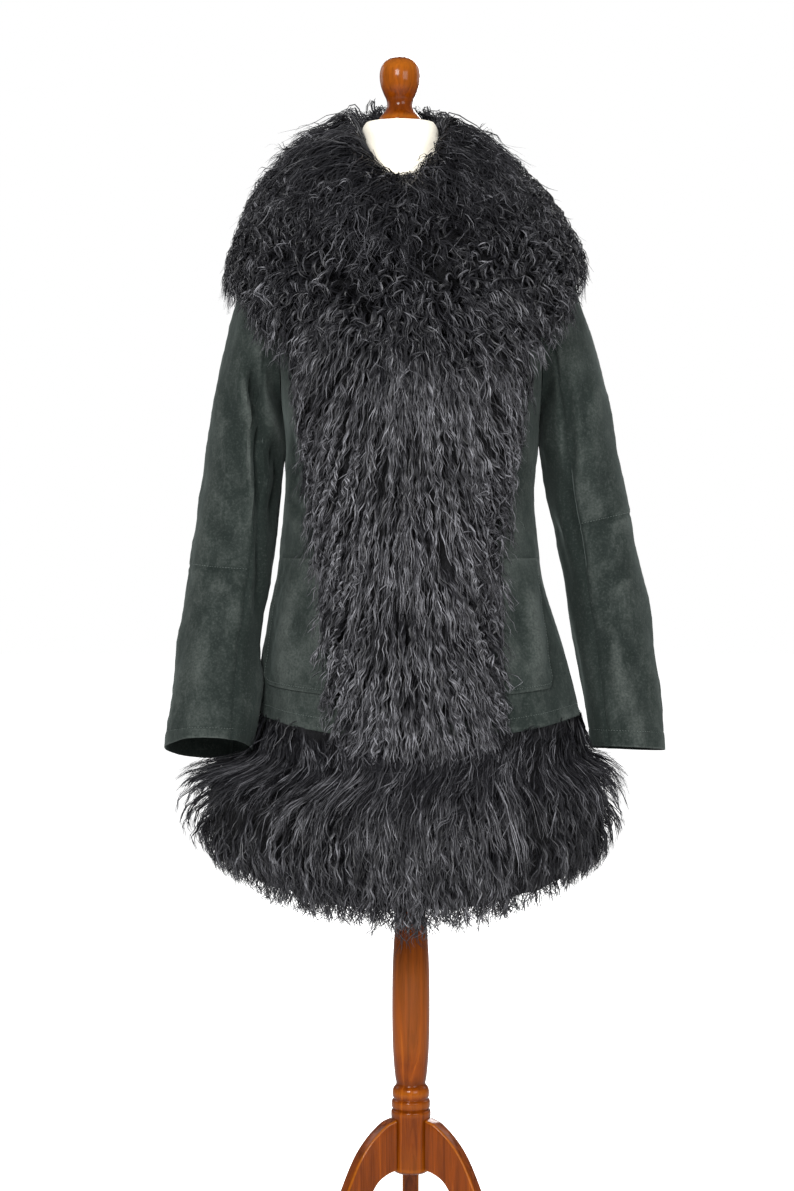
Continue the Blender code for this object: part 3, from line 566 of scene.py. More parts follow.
def turned_out(patch: Patch) -> Patch:
    """The closed mesh with its faces turned round if they look inwards."""
    a, b, c, d = (patch.points[patch.faces[:, k]] for k in range(4))
    volume = np.einsum("ij,ij->", a, np.cross(b, c)) + np.einsum("ij,ij->", a, np.cross(c, d))
    return patch if volume > 0 else Patch(patch.points, patch.faces[:, ::-1])


class Workroom:
    """Makes the scene's meshes and keeps count of their triangles."""

    def __init__(self) -> None:
        """Starts with nothing made."""
        self.triangles = 0

    def piece(
        self,
        name: str,
        patch: Patch,
        material: Material,
        slot: Slot | None,
        sharp: float = 180.0,
        **attributes: Array,
    ) -> Piece:
        """Makes one piece in the frame and lets it ride on the stand.

        Args:
            name: the piece's name.
            patch: its mesh, from the column's axis.
            material: its finish.
            slot: the record's slot of that finish, or None for a thing of the stage.
            sharp: edges sharper than this many degrees stay sharp.
            attributes: values that the finish reads, one for each point.

        Returns:
            The new object.
        """
        mesh = bpy.data.meshes.new(name)
        points, faces = patch
        mesh.vertices.add(len(points))
        mesh.vertices.foreach_set("co", (points + FOOTPRINT).astype(np.float32).ravel())
        three = faces[:, 2] == faces[:, 3]
        sizes = np.where(three, 3, 4)
        loops = faces[np.arange(4)[None, :] < sizes[:, None]]
        mesh.loops.add(len(loops))
        mesh.loops.foreach_set("vertex_index", loops.astype(np.int32))
        mesh.polygons.add(len(faces))
        starts = np.concatenate([[0], np.cumsum(sizes)[:-1]]).astype(np.int32)
        mesh.polygons.foreach_set("loop_start", starts)
        mesh.update(calc_edges=True)
        mesh.shade_smooth()
        if sharp < 180:
            mesh.set_sharp_from_angle(angle=math.radians(sharp))
        for key, values in attributes.items():
            made = mesh.attributes.new(key, "FLOAT", "POINT")
            made.data.foreach_set("value", np.asarray(values, np.float32).ravel())
        mesh.materials.append(material)
        obj = bpy.data.objects.new(name, mesh)
        bpy.context.scene.collection.objects.link(obj)
        if slot is not None:
            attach(obj, "root")
            made_now = int((sizes - 2).sum())
            self.triangles += made_now
            LOG.info("%s: %d triangles", name, made_now)
        return obj

    def cloth(
        self,
        name: str,
        walls: tuple[Array, Array],
        wear_and_shade: Array,
        inside: float,
        material: Material,
        slot: Slot = Slot.SUEDE,
        sharp: float = 50.0,
    ) -> Piece:
        """Makes a thin closed wall of cloth.

        Args:
            name: the piece's name.
            walls: its inner and its outer grid of points.
            wear_and_shade: how rubbed each point of the outer grid is, and, below the middle, how
                much painted shade it has.
            inside: the share of that value which the inner grid has.
            material: its finish.
            slot: the record's slot of that finish.
            sharp: edges sharper than this many degrees stay sharp.

        Returns:
            The new object.
        """
        both = np.concatenate([inside * wear_and_shade.ravel(), wear_and_shade.ravel()])
        return self.piece(name, turned_out(closed_wall(*walls)), material, slot, sharp, wear_and_shade=both)

    def sheet(
        self,
        obj: Piece,
        grid: Array,
        held: Held,
        rests_on: Sequence[str],
        extra: Sequence = (),
    ) -> None:
        """Takes a piece that is a sheet of cloth, and does nothing with it.

        Args:
            obj: the sheet; not used.
            grid: its plain grid of points, rows down it; not used.
            held: how it is held; not used.
            rests_on: what it lies on; not used.
            extra: pieces that are on it; not used.
        """


# ---- finishes ----
def opaque(colour: Colour | Socket) -> tuple | Socket:
    """A colour with its alpha, or the output that feeds it."""
    return colour if isinstance(colour, Socket) else (*colour, 1.0)


class Graph:
    """A node tree, with short ways to add nodes and join them."""

    def __init__(self, tree: Tree) -> None:
        """Works on that tree."""
        self.tree = tree

    def add(self, kind: str, inputs: dict | None = None, **settings) -> bpy.types.Node:
        """Adds a node.

        Args:
            kind: its type's name, after ShaderNode.
            inputs: for each input's name or number, a value or the output that feeds it.
            settings: the node's own settings.

        Returns:
            The node.
        """
        made = self.tree.nodes.new(kind if kind.startswith("Node") else "ShaderNode" + kind)
        for key, value in settings.items():
            setattr(made, key, value)
        for key, value in (inputs or {}).items():
            if isinstance(value, Socket):
                self.tree.links.new(value, made.inputs[key])
            else:
                made.inputs[key].default_value = value
        return made

    def maths(self, operation: str, first, second=0.0) -> Socket:
        """One operation on two values or outputs."""
        return self.add("Math", {0: first, 1: second}, operation=operation).outputs[0]

    def span(self, value, low: float, high: float, to_low=0.0, to_high=1.0) -> Socket:
        """Maps a value from one range to another, held inside it."""
        ends = {"From Min": low, "From Max": high, "To Min": to_low, "To Max": to_high}
        return self.add("MapRange", {"Value": value, **ends}).outputs["Result"]

    def blend(self, share, first, second) -> Socket:
        """Mixes a share of the second colour into the first."""
        inputs = {0: share, 6: opaque(first), 7: opaque(second)}
        return self.add("Mix", inputs, data_type="RGBA").outputs[2]

    def noise(self, where, scale, detail: float, rough: float, bend: float = 0.0):
        """A noise value at a place."""
        look = {"Scale": scale, "Detail": detail, "Roughness": rough, "Distortion": bend}
        return self.add("TexNoise", {"Vector": where, **look}).outputs["Fac"]

    def stretched(self, where, by) -> Socket:
        """A place with each of its coordinates multiplied."""
        return self.add("VectorMath", {0: where, 1: by}, operation="MULTIPLY").outputs[0]

    def relief(self, height, strength: float, distance: float) -> Socket:
        """The normal of a surface with fine relief."""
        inputs = {"Strength": strength, "Distance": distance, "Height": height}
        return self.add("Bump", inputs).outputs[0]

    def feed(self, shader: bpy.types.Node, **fed: Socket) -> None:
        """Feeds a shader's sockets, by name with _ for a space."""
        for key, value in fed.items():
            self.tree.links.new(value, shader.inputs[key.replace("_", " ")])


def group(name: str, inputs: dict[str, tuple], outputs: Sequence[str]) -> tuple:
    """Starts a node group.

    Args:
        name: the group's name.
        inputs: each input's kind and usual value.
        outputs: its outputs, which are values.

    Returns:
        The group's tree, a Graph on it, its inputs' node and its outputs' node.
    """
    tree = bpy.data.node_groups.new(name, "ShaderNodeTree")
    for key, (kind, value) in inputs.items():
        made = tree.interface.new_socket(key, in_out="INPUT", socket_type="NodeSocket" + kind)
        made.default_value = value
    for key in outputs:
        tree.interface.new_socket(key, in_out="OUTPUT", socket_type="NodeSocketFloat")
    graph = Graph(tree)
    return tree, graph, graph.add("NodeGroupInput"), graph.add("NodeGroupOutput")


class Effects:
    """The node groups that more than one finish uses, each built once."""

    def __init__(self) -> None:
        """Builds them all."""
        self.mottle = self._mottle()
        self.grain = self._grain()
        self.weave = self._weave()

    @staticmethod
    def _mottle() -> Tree:
        """Broad patches with finer streaks in them, as on napped leather, fleece or worn wood."""
        tree, g, ins, outs = group(
            "broad_mottle",
            {
                "Scale": ("Float", 8.0),
                "Streaks": ("Float", 40.0),
                "Lean": ("Vector", (1.0, 1.0, 0.5)),
            },
            ("Patches", "Streaks"),
        )
        place = g.add("TexCoord").outputs["Object"]
        patches = g.noise(place, ins.outputs["Scale"], 4.0, 0.6, 0.4)
        leaned = g.stretched(place, ins.outputs["Lean"])
        streaks = g.noise(leaned, ins.outputs["Streaks"], 5.0, 0.65, 0.8)
        g.feed(outs, Patches=g.span(patches, 0.36, 0.66), Streaks=g.span(streaks, 0.32, 0.70))
        return tree

    @staticmethod
    def _grain() -> Tree:
        """Long grain with pores, along Z."""
        tree, g, ins, outs = group(
            "long_grain",
            {"Fineness": ("Float", 60.0), "Length": ("Float", 0.06)},
            ("Figure", "Pores"),
        )
        place = g.add("TexCoord").outputs["Object"]
        shrink = g.add("CombineXYZ", {"X": 1.0, "Y": 1.0, "Z": ins.outputs["Length"]}).outputs[0]
        long = g.stretched(place, shrink)
        figure = g.noise(long, ins.outputs["Fineness"], 6.0, 0.6, 1.4)
        pores = g.noise(long, g.maths("MULTIPLY", ins.outputs["Fineness"], 9.0), 2.0, 0.5)
        g.feed(outs, Figure=g.span(figure, 0.30, 0.72), Pores=g.span(pores, 0.56, 0.72))
        return tree

    @staticmethod
    def _weave() -> Tree:
        """Fine crossing threads, for jersey and for the sewing thread's twist."""
        tree, g, ins, outs = group("fine_knit", {"Rows": ("Float", 900.0)}, ("Threads",))
        place = g.add("TexCoord").outputs["Object"]
        split = g.add("SeparateXYZ", {0: place}).outputs
        around = g.maths("ARCTAN2", split[1], split[0])
        across = g.maths("SINE", g.maths("MULTIPLY", around, 130.0))
        down = g.maths("SINE", g.maths("MULTIPLY", split[2], ins.outputs["Rows"]))
        g.feed(outs, Threads=g.span(g.maths("MULTIPLY", across, down), -1.0, 1.0))
        return tree

    @staticmethod
    def use(graph: Graph, tree: Tree, **inputs) -> bpy.types.NodeOutputs:
        """Places a group in a material with its own values, and gives its outputs."""
        return graph.add("Group", inputs, node_tree=tree).outputs


class Finish:
    """The start of every finish: a material, and constant values set on its shader."""

    @staticmethod
    def begin(name: str, **constants: float | tuple) -> tuple:
        """Makes the material.

        Args:
            name: its name.
            constants: values set on the shader's own sockets, by name with _ for a space.

        Returns:
            The material, a Graph on its nodes, and its shader.
        """
        made = bpy.data.materials.new(name)
        made.use_nodes = True
        graph = Graph(made.node_tree)
        shader = made.node_tree.nodes["Principled BSDF"]
        for key, value in constants.items():
            shader.inputs[key.replace("_", " ")].default_value = value
        return made, graph, shader

    @staticmethod
    def reads(graph: Graph, name: str) -> Socket:
        """A value that the mesh carries at each point."""
        return graph.add("Attribute", attribute_type="GEOMETRY", attribute_name=name).outputs["Fac"]


@dataclass(frozen=True)
class SuedeFinish(Finish):
    """Napped bottle-green leather: brushed and lighter where it is rubbed, with painted shade
    darker in its creases, grooves and on the sleeves' inner sides.
    """

    deep: Colour = (0.0058, 0.0090, 0.0078)
    green: Colour = (0.0182, 0.0234, 0.0210)
    rubbed: Colour = (0.059, 0.067, 0.062)

    def material(self, effects: Effects) -> Material:
        """Builds the finish."""
        made, g, shader = self.begin(
            "bottle_green_suede", Sheen_Weight=0.10, Sheen_Roughness=0.45,
            Sheen_Tint=(0.60, 0.72, 0.68, 1.0), Specular_IOR_Level=0.10,
        )
        out = effects.use(g, effects.mottle, Scale=20.0, Streaks=85.0, Lean=(1.0, 1.0, 0.55))
        place = g.add("TexCoord").outputs["Object"]
        nap = g.noise(place, 380.0, 4.0, 0.75)
        base = g.blend(g.span(out["Patches"], 0.0, 1.0, 0.30, 0.95), self.deep, self.green)
        base = g.blend(g.span(out["Streaks"], 0.35, 1.0, 0.0, 0.36), base, self.rubbed)
        wear_and_shade = self.reads(g, "wear_and_shade")
        base = g.blend(g.span(wear_and_shade, 0.5, 1.0, 0.0, 0.60), base, self.rubbed)
        # Painted shade: low values of the mesh's value darken the suede in creases, grooves, the
        # under sleeves and the sleeves' sides that face the body; high values are real rubbing.
        base = g.blend(g.span(wear_and_shade, 0.5, 0.0, 0.0, 0.85), base, self.deep)
        base = g.blend(g.span(nap, 0.34, 0.56, 0.60, 0.0), base, self.deep)
        base = g.blend(g.span(nap, 0.52, 0.72, 0.0, 0.34), base, self.rubbed)
        streaks = g.maths("MULTIPLY", out["Streaks"], 0.4)
        fine = g.maths("ADD", g.maths("MULTIPLY", nap, 0.6), streaks)
        rough = g.span(nap, 0.3, 0.7, 0.82, 0.97)
        g.feed(shader, Base_Color=base, Roughness=rough, Normal=g.relief(fine, 0.35, 0.0006))
        return made


@dataclass(frozen=True)
class ThreadFinish(Finish):
    """Grey-green sewing thread with a slight twist."""

    shade: Colour = (0.050, 0.066, 0.060)
    light: Colour = (0.110, 0.130, 0.120)

    def material(self, effects: Effects) -> Material:
        """Builds the finish."""
        made, g, shader = self.begin("sewing_thread", Specular_IOR_Level=0.4)
        twist = effects.use(g, effects.weave, Rows=5200.0)["Threads"]
        base = g.blend(twist, self.shade, self.light)
        g.feed(shader, Base_Color=base, Roughness=g.span(twist, 0.0, 1.0, 0.50, 0.66))
        return made


@dataclass(frozen=True)
class LambFinish(Finish):
    """Dyed charcoal lamb, greyer on some strands, with painted shade dark at the roots and deep in
    the pile, and painted glints on the curls' crests.
    """

    root: Colour = (0.0022, 0.0022, 0.0028)
    body: Colour = (0.0105, 0.0105, 0.0125)
    # The grey that strands take by their random tone, and the colour of the painted glints on the
    # curls' crests.
    grey_and_painted_glint: Colour = (0.205, 0.205, 0.222)

    def material(self, effects: Effects) -> Material:
        """Builds the finish."""
        made, g, shader = self.begin("charcoal_lamb_curls", Specular_IOR_Level=0.16)
        out = effects.use(g, effects.mottle, Scale=16.0, Streaks=170.0, Lean=(1.0, 1.0, 1.0))
        along, tone = self.reads(g, "along"), self.reads(g, "tone")
        # Painted shade: the along value is low at the roots and deep in the pile, so there the hair
        # keeps the near-black root colour.
        base = g.blend(g.span(along, 0.0, 0.55), self.root, self.body)
        tone = g.span(tone, 0.30, 0.95, 0.0, 0.95)
        light = g.maths("MULTIPLY", g.span(along, 0.25, 1.0, 0.15, 1.0), tone)
        light = g.maths("MULTIPLY", light, g.span(out["Streaks"], 0.0, 1.0, 0.45, 1.2))
        base = g.blend(light, base, self.grey_and_painted_glint)
        base = g.blend(g.span(out["Patches"], 0.0, 1.0, 0.35, 0.0), base, self.root)
        rough = g.span(out["Streaks"], 0.0, 1.0, 0.34, 0.52)
        g.feed(shader, Base_Color=base, Roughness=rough)
        return made


@dataclass(frozen=True)
class UndercoatFinish(Finish):
    """The fleece's matted lower layer, dark with painted shade of the deep pile, darkest in the
    hollows between its tufts.
    """

    root: Colour = (0.0030, 0.0030, 0.0035)
    tuft: Colour = (0.013, 0.013, 0.015)

    def material(self, effects: Effects) -> Material:
        """Builds the finish."""
        made, g, shader = self.begin("charcoal_undercoat", Specular_IOR_Level=0.12)
        out = effects.use(g, effects.mottle, Scale=60.0, Streaks=210.0, Lean=(1.0, 1.0, 0.35))
        lift = self.reads(g, "wear_and_shade")
        # Painted shade: the lower tufts stay near the dark root colour.
        share = g.maths("MULTIPLY", g.span(lift, 0.2, 1.0), out["Streaks"])
        base = g.blend(share, self.root, self.tuft)
        rough = g.span(out["Streaks"], 0.0, 1.0, 0.6, 0.85)
        normal = g.relief(out["Streaks"], 0.9, 0.003)
        g.feed(shader, Base_Color=base, Roughness=rough, Normal=normal)
        return made


@dataclass(frozen=True)
class JerseyFinish(Finish):
    """Cream cotton jersey, a little yellowed."""

    cream: Colour = (0.80, 0.765, 0.67)
    shade: Colour = (0.66, 0.60, 0.49)

    def material(self, effects: Effects) -> Material:
        """Builds the finish."""
        made, g, shader = self.begin("cream_jersey", Sheen_Weight=0.15, Specular_IOR_Level=0.25)
        out = effects.use(g, effects.mottle, Scale=12.0, Streaks=90.0, Lean=(1.0, 1.0, 1.0))
        threads = effects.use(g, effects.weave, Rows=3600.0)["Threads"]
        base = g.blend(g.span(out["Patches"], 0.0, 1.0, 0.45, 0.0), self.cream, self.shade)
        base = g.blend(g.span(threads, 0.0, 1.0, 0.22, 0.0), base, self.shade)
        rough = g.span(out["Streaks"], 0.0, 1.0, 0.82, 0.95)
        g.feed(shader, Base_Color=base, Roughness=rough, Normal=g.relief(threads, 0.4, 0.0004))
        return made


@dataclass(frozen=True)
class WoodFinish(Finish):
    """Red-brown varnished wood, darker in its turned grooves and rubbed lighter on its beads."""

    dark: Colour = (0.056, 0.0105, 0.0004)
    warm: Colour = (0.172, 0.0335, 0.0008)
    rubbed: Colour = (0.35, 0.105, 0.008)

    def material(self, effects: Effects) -> Material:
        """Builds the finish."""
        shine = {"Coat_Weight": 0.20, "Coat_Roughness": 0.14, "Specular_IOR_Level": 0.02}
        made, g, shader = self.begin("varnished_wood", **shine)
        out = effects.use(g, effects.grain, Fineness=85.0, Length=0.05)
        wear_and_shade = self.reads(g, "wear_and_shade")
        base = g.blend(out["Figure"], self.dark, self.warm)
        base = g.blend(g.span(out["Figure"], 0.75, 1.0, 0.0, 0.30), base, self.rubbed)
        base = g.blend(g.span(wear_and_shade, 0.55, 1.0, 0.0, 0.65), base, self.rubbed)
        base = g.blend(g.span(wear_and_shade, 0.45, 0.0, 0.0, 0.85), base, self.dark)
        base = g.blend(g.span(out["Pores"], 0.0, 1.0, 0.0, 0.35), base, self.dark)
        rough = g.span(out["Figure"], 0.0, 1.0, 0.24, 0.36)
        normal = g.relief(out["Pores"], 0.12, 0.0003)
        g.feed(shader, Base_Color=base, Roughness=rough, Normal=normal)
        return made


@dataclass(frozen=True)
class FloorFinish(Finish):
    """A plain pale floor."""

    pale: Colour = (0.93, 0.93, 0.93)
    scuffed: Colour = (0.91, 0.91, 0.91)
    glow: float = 0.78

    def material(self, effects: Effects) -> Material:
        """Builds the finish."""
        white = (1.0, 1.0, 1.0, 1.0)
        made, g, shader = self.begin("pale_floor", Specular_IOR_Level=0.1, Emission_Color=white)
        out = effects.use(g, effects.mottle, Scale=3.0, Streaks=20.0, Lean=(1.0, 1.0, 1.0))
        base = g.blend(g.span(out["Patches"], 0.0, 1.0, 0.0, 0.1), self.pale, self.scuffed)
        rough = g.span(out["Streaks"], 0.0, 1.0, 0.85, 0.95)
        glow = g.span(g.add("LightPath").outputs["Is Camera Ray"], 0.0, 1.0, 0.0, self.glow)
        g.feed(shader, Base_Color=base, Roughness=rough, Emission_Strength=glow)
        return made


class Wardrobe:
    """Every finish of the scene, made once."""

    def __init__(self) -> None:
        """Builds the shared effects and the finishes."""
        effects = Effects()
        self.suede = SuedeFinish().material(effects)
        self.thread = ThreadFinish().material(effects)
        self.lamb = LambFinish().material(effects)
        self.undercoat = UndercoatFinish().material(effects)
        self.jersey = JerseyFinish().material(effects)
        self.wood = WoodFinish().material(effects)
        self.floor = FloorFinish().material(effects)


# ---- sewing ----
@dataclass(frozen=True)
class Stitching:
    """Rows of small straight stitches, each one a slim spindle of thread."""

    pitch: float = 0.0034
    length: float = 0.0025
    width: float = 0.00055
    proud: float = 0.00012
    look_ahead: float = 0.0005

    def row(self, line: Array, normals: Array) -> Patch:
        """One row.

        Args:
            line: points along it, on the cloth.
            normals: the cloth's outward normals there.

        Returns:
            The stitches' mesh.
        """
        run = run_along(line)
        spots = np.arange(self.pitch, run[-1] - self.pitch / 2, self.pitch)

        def read(table: Array, at: Array) -> Array:
            """The table's rows at distances along the line."""
            return np.stack([np.interp(at, run, column) for column in table.T], -1)

        middle, ahead = read(line, spots), read(line, spots + self.look_ahead)
        up = unit(read(normals, spots))
        way = unit(ahead - middle)
        side = np.cross(up, way)
        middle = middle + self.proud * up
        half = self.width / 2
        points = np.stack([
            middle - way * self.length / 2, middle - side * half, middle + up * half,
            middle + side * half, middle - up * half, middle + way * self.length / 2,
        ], 1)
        round_it = ((1, 2), (2, 3), (3, 4), (4, 1))
        one = np.array([(0, q, p, p) for p, q in round_it] + [(5, p, q, q) for p, q in round_it])
        faces = (one[None] + 6 * np.arange(len(spots))[:, None, None]).reshape(-1, 4)
        return Patch(points.reshape(-1, 3), faces)


def joined(patches: Sequence[Patch]) -> Patch:
    """Several meshes as one."""
    before = np.cumsum([0] + [len(p.points) for p in patches[:-1]])
    return Patch(
        np.concatenate([p.points for p in patches]),
        np.concatenate([p.faces + start for p, start in zip(patches, before)]),
    )


BODY_CREASES = table(
    Crease,
    (((0.066, 1.02), (0.083, 0.985), (0.098, 0.936)), 0.006, 0.0026),
    (((0.118, 1.012), (0.098, 0.99), (0.072, 0.975)), 0.007, 0.0018),
    (((0.132, 1.065), (0.106, 1.05), (0.088, 1.046)), 0.0065, 0.0016),
    (((0.126, 0.93), (0.122, 0.88), (0.134, 0.815)), 0.009, 0.0018),
    (((0.15, 0.905), (0.16, 0.85), (0.17, 0.79)), 0.01, 0.0022),
    (((-0.145, 1.022), (-0.122, 1.01), (-0.104, 0.99)), 0.006, 0.002),
    (((-0.146, 1.03), (-0.12, 1.038), (-0.1, 1.036)), 0.006, 0.0018),
    (((-0.146, 1.012), (-0.128, 0.985), (-0.112, 0.95)), 0.0065, 0.0018),
    (((-0.14, 1.1), (-0.136, 1.05), (-0.142, 1.0)), 0.007, 0.0022),
    (((-0.15, 0.9), (-0.16, 0.85), (-0.168, 0.79)), 0.009, 0.002),
    (((-0.12, 0.925), (-0.118, 0.88), (-0.128, 0.83)), 0.01, 0.0014),
    (((-0.12, 1.04), (-0.06, 1.01), (0.0, 1.004), (0.07, 1.015)), 0.012, 0.0016, True),
    (((-0.1, 0.985), (-0.03, 0.972), (0.05, 0.98), (0.115, 1.0)), 0.011, 0.0014, True),
    (((-0.08, 0.94), (-0.092, 0.88), (-0.11, 0.8)), 0.012, 0.0028, True),
    (((0.07, 0.94), (0.085, 0.87), (0.1, 0.795)), 0.012, 0.0028, True),
    (((-0.02, 0.9), (-0.028, 0.84), (-0.03, 0.78)), 0.011, 0.0018, True),
    (((0.13, 1.12), (0.09, 1.07), (0.05, 1.04)), 0.009, 0.0022, True),
    (((-0.13, 1.12), (-0.092, 1.076), (-0.05, 1.048)), 0.009, 0.0022, True),
)


@dataclass
class CoatBody:
    """The suede fronts and back, with their creases, rolled hem, side seams and stitching."""

    room: Workroom
    finishes: Wardrobe
    creases: Sequence[Crease] = BODY_CREASES
    hem_roll: float = 0.0011
    hem_depth: float = 0.0055
    waves: float = 0.00085
    nubs: float = 0.00022
    calm_above: tuple[float, float] = (1.08, 1.17)
    seam_depth: float = 0.0007
    seam_width: float = 0.0022
    columns_under_fur: int = 8
    columns: int = 42
    back_columns: int = 77
    rows: tuple[int, int, int] = (54, 20, 7)
    stitching: Stitching = field(default_factory=Stitching)

    def relief(self, angles: Array, levels: Array) -> tuple[Array, Array, Array]:
        """The plain surface, its normals, and how far the cloth stands off it."""
        base = BODY_SURFACE.at(angles, levels)
        normal = BODY_SURFACE.normal(angles, levels)
        lift = creased(base, normal, self.creases)
        lift = lift + self.waves * ripple(base * (1, 1, 0.55), 0.052, 11)
        lift = lift + self.nubs * ripple(base, 0.014, 12)
        return base, normal, lift * (1 - ease(*self.calm_above, levels))

    def hem(self, levels: Array) -> Array:
        """The rolled edge at the foot of a panel."""
        return self.hem_roll * bump((levels - BODY[0].side_z - self.hem_depth / 2) / self.hem_depth)

    def levels(self) -> Array:
        """Heights of a panel's rows."""
        low, beside, above = self.rows
        hem = [HEM_FOOT, 0.7535, 0.755, 0.757]
        skirt = np.linspace(0.760, ARMHOLE_MIDDLE - ARMHOLE_HALF_HEIGHT, low)[:-1]
        hole = ARMHOLE_MIDDLE - ARMHOLE_HALF_HEIGHT * np.cos(np.linspace(0, math.pi, beside))
        shoulder = np.linspace(ARMHOLE_MIDDLE + ARMHOLE_HALF_HEIGHT, NECK_EDGE, above)[1:]
        return np.concatenate([hem, skirt, hole, shoulder])

    def wear_and_shade(self, lift: Array, base: Array, seed: int) -> Array:
        """Rubbed lighter on what stands out, with painted shade dark in what sinks."""
        wear_and_shade = 0.58 + lift * 130 + 0.05 * ripple(base, 0.13, seed)
        return np.clip(wear_and_shade + 0.05 * ripple(base, 0.045, seed + 1), 0, 1)

    def panel(self, node: str, angles: Array, levels: Array, to_seam: Array) -> None:
        """Makes a panel of the body.

        Args:
            node: the solid that it replaces, which its name ends in.
            angles: degrees of its grid.
            levels: heights of its grid.
            to_seam: degrees from each point to its side seam.
        """
        base, normal, lift = self.relief(angles, levels)
        seam = bell(np.radians(to_seam) * BODY_RADIUS, self.seam_width)
        lift = lift + self.hem(levels) - self.seam_depth * seam
        outer = off(base, normal, lift)
        walls, wear_and_shade = (outer - SUEDE_WALL * normal, outer), self.wear_and_shade(lift, base, 21)
        obj = self.room.cloth(f"coat_{node}", walls, wear_and_shade, 0.3, self.finishes.suede)
        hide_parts(node)
        self.room.sheet(obj, base, Held.HUNG, ["torso"])

    def front(self, side: Side) -> None:
        """One front, from the middle to the side seam."""
        levels = self.levels()
        fur_edge, _ = front_edges(side, levels)
        reach = 90 - armhole_reach(levels, back=False)
        lines = [fur_edge * k / self.columns_under_fur for k in range(self.columns_under_fur)]
        lines += [fur_edge + (reach - fur_edge) * k / self.columns for k in range(self.columns + 1)]
        angles = np.stack(lines, 1)
        levels = levels[:, None] + 0 * angles
        self.panel(f"front_{side.word}", side.value * angles, levels, reach[:, None] - angles)

    def back(self) -> None:
        """The whole back."""
        levels = self.levels()[:, None]
        share = np.linspace(-1, 1, self.back_columns)[None, :]
        reach = 90 - armhole_reach(levels, back=True)
        angles = 180 + reach * share
        self.panel("back", angles, levels + 0 * angles, reach * (1 - np.abs(share)))

    def hem_stitches(self, height: float = 0.7655, count: int = 160) -> None:
        """A row of stitches above the hem, from one fur band to the other."""
        rows = []
        for side in Side:
            edge = float(front_edges(side, 0.765)[0])
            angles = np.linspace(edge + 1, 180, count) * side.value
            base, normal, lift = self.relief(angles, np.full(count, height))
            rows.append(self.stitching.row(off(base, normal, lift), normal))
        self.room.piece("hem_stitches", joined(rows), self.finishes.thread, Slot.SUEDE)

    def facing(self, top: float = 0.770, drop: float = 0.026, inset: float = 0.0036) -> None:
        """A narrow suede facing inside the hem, behind the seam that joins the fur to it."""
        angles, levels = np.meshgrid(np.linspace(0, 360, 145), np.linspace(top, top - drop, 6))
        held = np.maximum(levels, HEM_FOOT)
        base, normal = BODY_SURFACE.at(angles, held), BODY_SURFACE.normal(angles, held)
        base[..., 2] -= held - levels
        walls, wear_and_shade = (base - (inset + 0.001) * normal, base - inset * normal), 0.35 + 0 * held
        self.room.cloth("coat_hem_facing", walls, wear_and_shade, 1.0, self.finishes.suede)

    def make(self) -> None:
        """Makes the fronts, the back, the hem's facing and its stitches."""
        for side in Side:
            self.front(side)
        self.back()
        self.facing()
        self.hem_stitches()


@dataclass
class Pockets:
    """The two patch pockets, with a folded top, a stitched edge and a round lower corner."""

    body: CoatBody
    top: float = 0.934
    foot: float = 0.790
    width: float = 0.11
    rows: int = 44
    columns: int = 44
    edge: float = 0.0042
    fold: float = 0.021
    under_fur: float = 0.4
    corner: float = 0.16

    def grid(self, side: Side, down: Array, out: Array) -> tuple[Array, Array]:
        """Degrees and heights at shares of the way up the pocket and outwards from the fur."""
        corner = 1 - np.sqrt(1 - np.clip(1 - (1 - out) / self.corner, 0, 0.94) ** 2)
        levels = self.foot + (self.top - self.foot) * (down + 0.10 * corner * (1 - down))
        fur_edge, pocket_edge = front_edges(side, levels)
        reach = pocket_edge - fur_edge - self.under_fur
        return (fur_edge + self.under_fur + reach * out) * side.value, levels

    def make(self, side: Side) -> None:
        """Makes one pocket and its stitches."""
        room, body = self.body.room, self.body
        out, down = np.meshgrid(np.linspace(0, 1, self.columns), np.linspace(0, 1, self.rows))
        angles, levels = self.grid(side, down, out)
        base, normal, lift = body.relief(angles, levels)
        height = self.top - self.foot
        from_rim = np.minimum(np.minimum(down, 1 - down) * height, (1 - out) * self.width)
        puff = 0.0012 * ease(0.0, 0.030, from_rim) * (1 + 0.5 * ripple(base, 0.05, 31))
        rolled = -0.0007 * (1 - ease(0.0, 0.0022, from_rim))
        groove = -0.00055 * bell(from_rim - self.edge, 0.0011)
        below_top = (1 - down) * height
        folded = 0.0006 * (1 - ease(self.fold - 0.001, self.fold + 0.001, below_top))
        own = puff + rolled + groove + folded - 0.0005 * bell(below_top - self.fold, 0.0012)
        under = off(base, normal, lift + LAID)
        walls = under, off(under, normal, POCKET_WALL + own)
        # Rubbed lighter on the puff and at the rim; painted shade darkens the groove, the rolled
        # edge and the creases.
        wear_and_shade = np.clip(body.wear_and_shade(lift + own * 0.4, base, 41) + 0.25 * (from_rim < 0.002), 0, 1)
        obj = room.cloth(f"coat_pocket_{side.word}", walls, wear_and_shade, 0.2, body.finishes.suede)
        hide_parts(f"pocket_{side.word}")
        stitches = self.stitches(side)
        room.sheet(obj, base, Held.LAID, [f"coat_front_{side.word}"], [stitches])

    def stitches(self, side: Side) -> Piece:
        """Stitches along the pocket's foot and outer edge, and under its folded top."""
        room, body = self.body.room, self.body
        height = self.top - self.foot
        inset, side_inset = self.edge / height, self.edge / self.width
        t = np.linspace(0, 1, 120)
        low, outer, top = 0 * t + inset, 0 * t + 1 - side_inset, 0 * t + 1 - self.fold / height
        across, up = t * (1 - side_inset), inset + t * (1 - inset)
        rows = []
        for down, out in ((low, across), (up, outer), (top, across)):
            base, normal, lift = body.relief(*self.grid(side, down, out))
            on_top = off(base, normal, lift + LAID + POCKET_WALL + 0.0003)
            rows.append(body.stitching.row(on_top, normal))
        name = f"pocket_stitches_{side.word}"
        return room.piece(name, joined(rows), body.finishes.thread, Slot.SUEDE)


